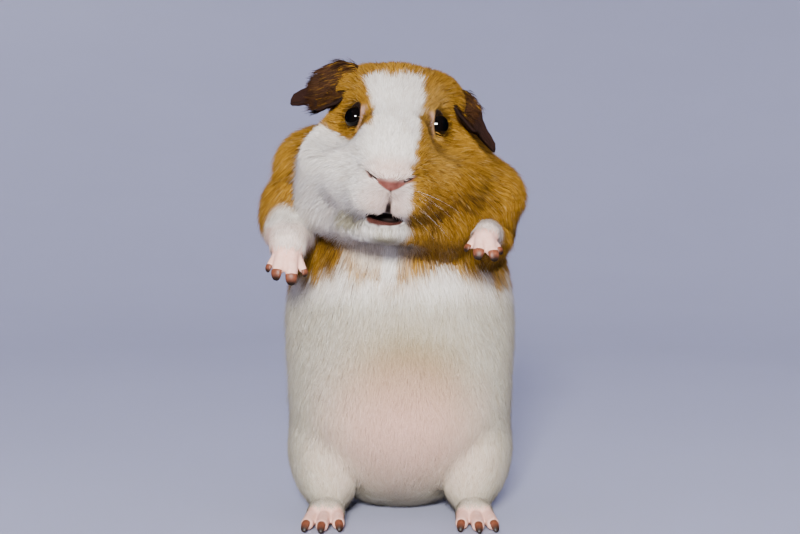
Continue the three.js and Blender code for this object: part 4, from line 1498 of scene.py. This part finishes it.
# studio: a pale sweep of paper, three lamps and a camera
studio = {
    "cameraPlace": (0, -660, 137.6), "cameraAim": (0, 0, 103), "lens": 70,
    "sweep": {"flat": 0.7, "bend": 2.5, "turn": 52, "rings": 24, "sides": 72},  # in metres and degrees
    "paper": (0.36, 0.365, 0.47),
    "lampAim": (0, 0, 110),
    "lamps": {
        "key": {"place": (-140, -2300, 860), "energy": 245, "size": 0.5},
        "fill": {"place": (1800, -1400, 1100), "energy": 34, "size": 1.6},
        "rim": {"place": (-700, 2000, 1500), "energy": 85, "size": 1.5},
    },
    "air": {"Color": (1, 0.98, 0.95), "Strength": 0.5},
}


def aimAt(thing, place, target):
    thing.location = toWorld([place])[0]
    gaze = Vector(toWorld([target])[0]) - thing.location
    thing.rotation_euler = gaze.to_track_quat("-Z", "Y").to_euler()
    bpy.context.scene.collection.objects.link(thing)


camera = bpy.data.objects.new("camera", bpy.data.cameras.new("camera"))
camera.data.lens, camera.data.sensor_width, camera.data.clip_start = studio["lens"], 36, 0.01
aimAt(camera, studio["cameraPlace"], studio["cameraAim"])
bpy.context.scene.camera = camera

for name, spec in studio["lamps"].items():
    lamp = bpy.data.objects.new(name, bpy.data.lights.new(name, "AREA"))
    lamp.data.energy, lamp.data.size, lamp.data.shape = spec["energy"], spec["size"], "DISK"
    aimAt(lamp, spec["place"], studio["lampAim"])
    lamp.visible_camera = False
    lamp.visible_glossy = name == "key"  # one highlight in each eye

air = bpy.data.worlds.new("air")
bpy.context.scene.world = air
air.use_nodes = True
feed(air.node_tree, air.node_tree.nodes["Background"].inputs, studio["air"])
air.cycles_visibility.glossy = False


def backdrop():
    # a round floor that curves up into a wall on every side
    spec = studio["sweep"]
    turns = np.linspace(0, math.radians(spec["turn"]), spec["rings"])
    reach = np.concatenate([[0.01], spec["flat"] + spec["bend"] * np.sin(turns)])
    level = np.concatenate([[0], spec["bend"] * (1 - np.cos(turns))])
    ways = around(spec["sides"])
    levels = np.repeat(level[:, None], len(ways), axis=1)
    places = np.stack([np.outer(reach, np.cos(ways)), np.outer(reach, np.sin(ways)), levels], axis=-1)
    piece = meshFrom("backdrop", places.reshape(-1, 3), gridFaces(*levels.shape))
    rework(piece, closeEnds)
    material, tree, shader = newMaterial("palePaper", {"Roughness": 0.9, "Specular IOR Level": 0.1})
    grain = addNode(tree, "TexNoise", {"Scale": 6, "Detail": 3, "Vector": objectPlace(tree)})
    shades = (tuple(share * v for v in studio["paper"]) for share in (0.97, 1.03))
    feed(tree, shader, {"Base Color": mixColour(tree, grain.outputs["Fac"], *shades)})
    piece.data.materials.append(material)
    piece.visible_glossy = False


backdrop()
report("studio lit")
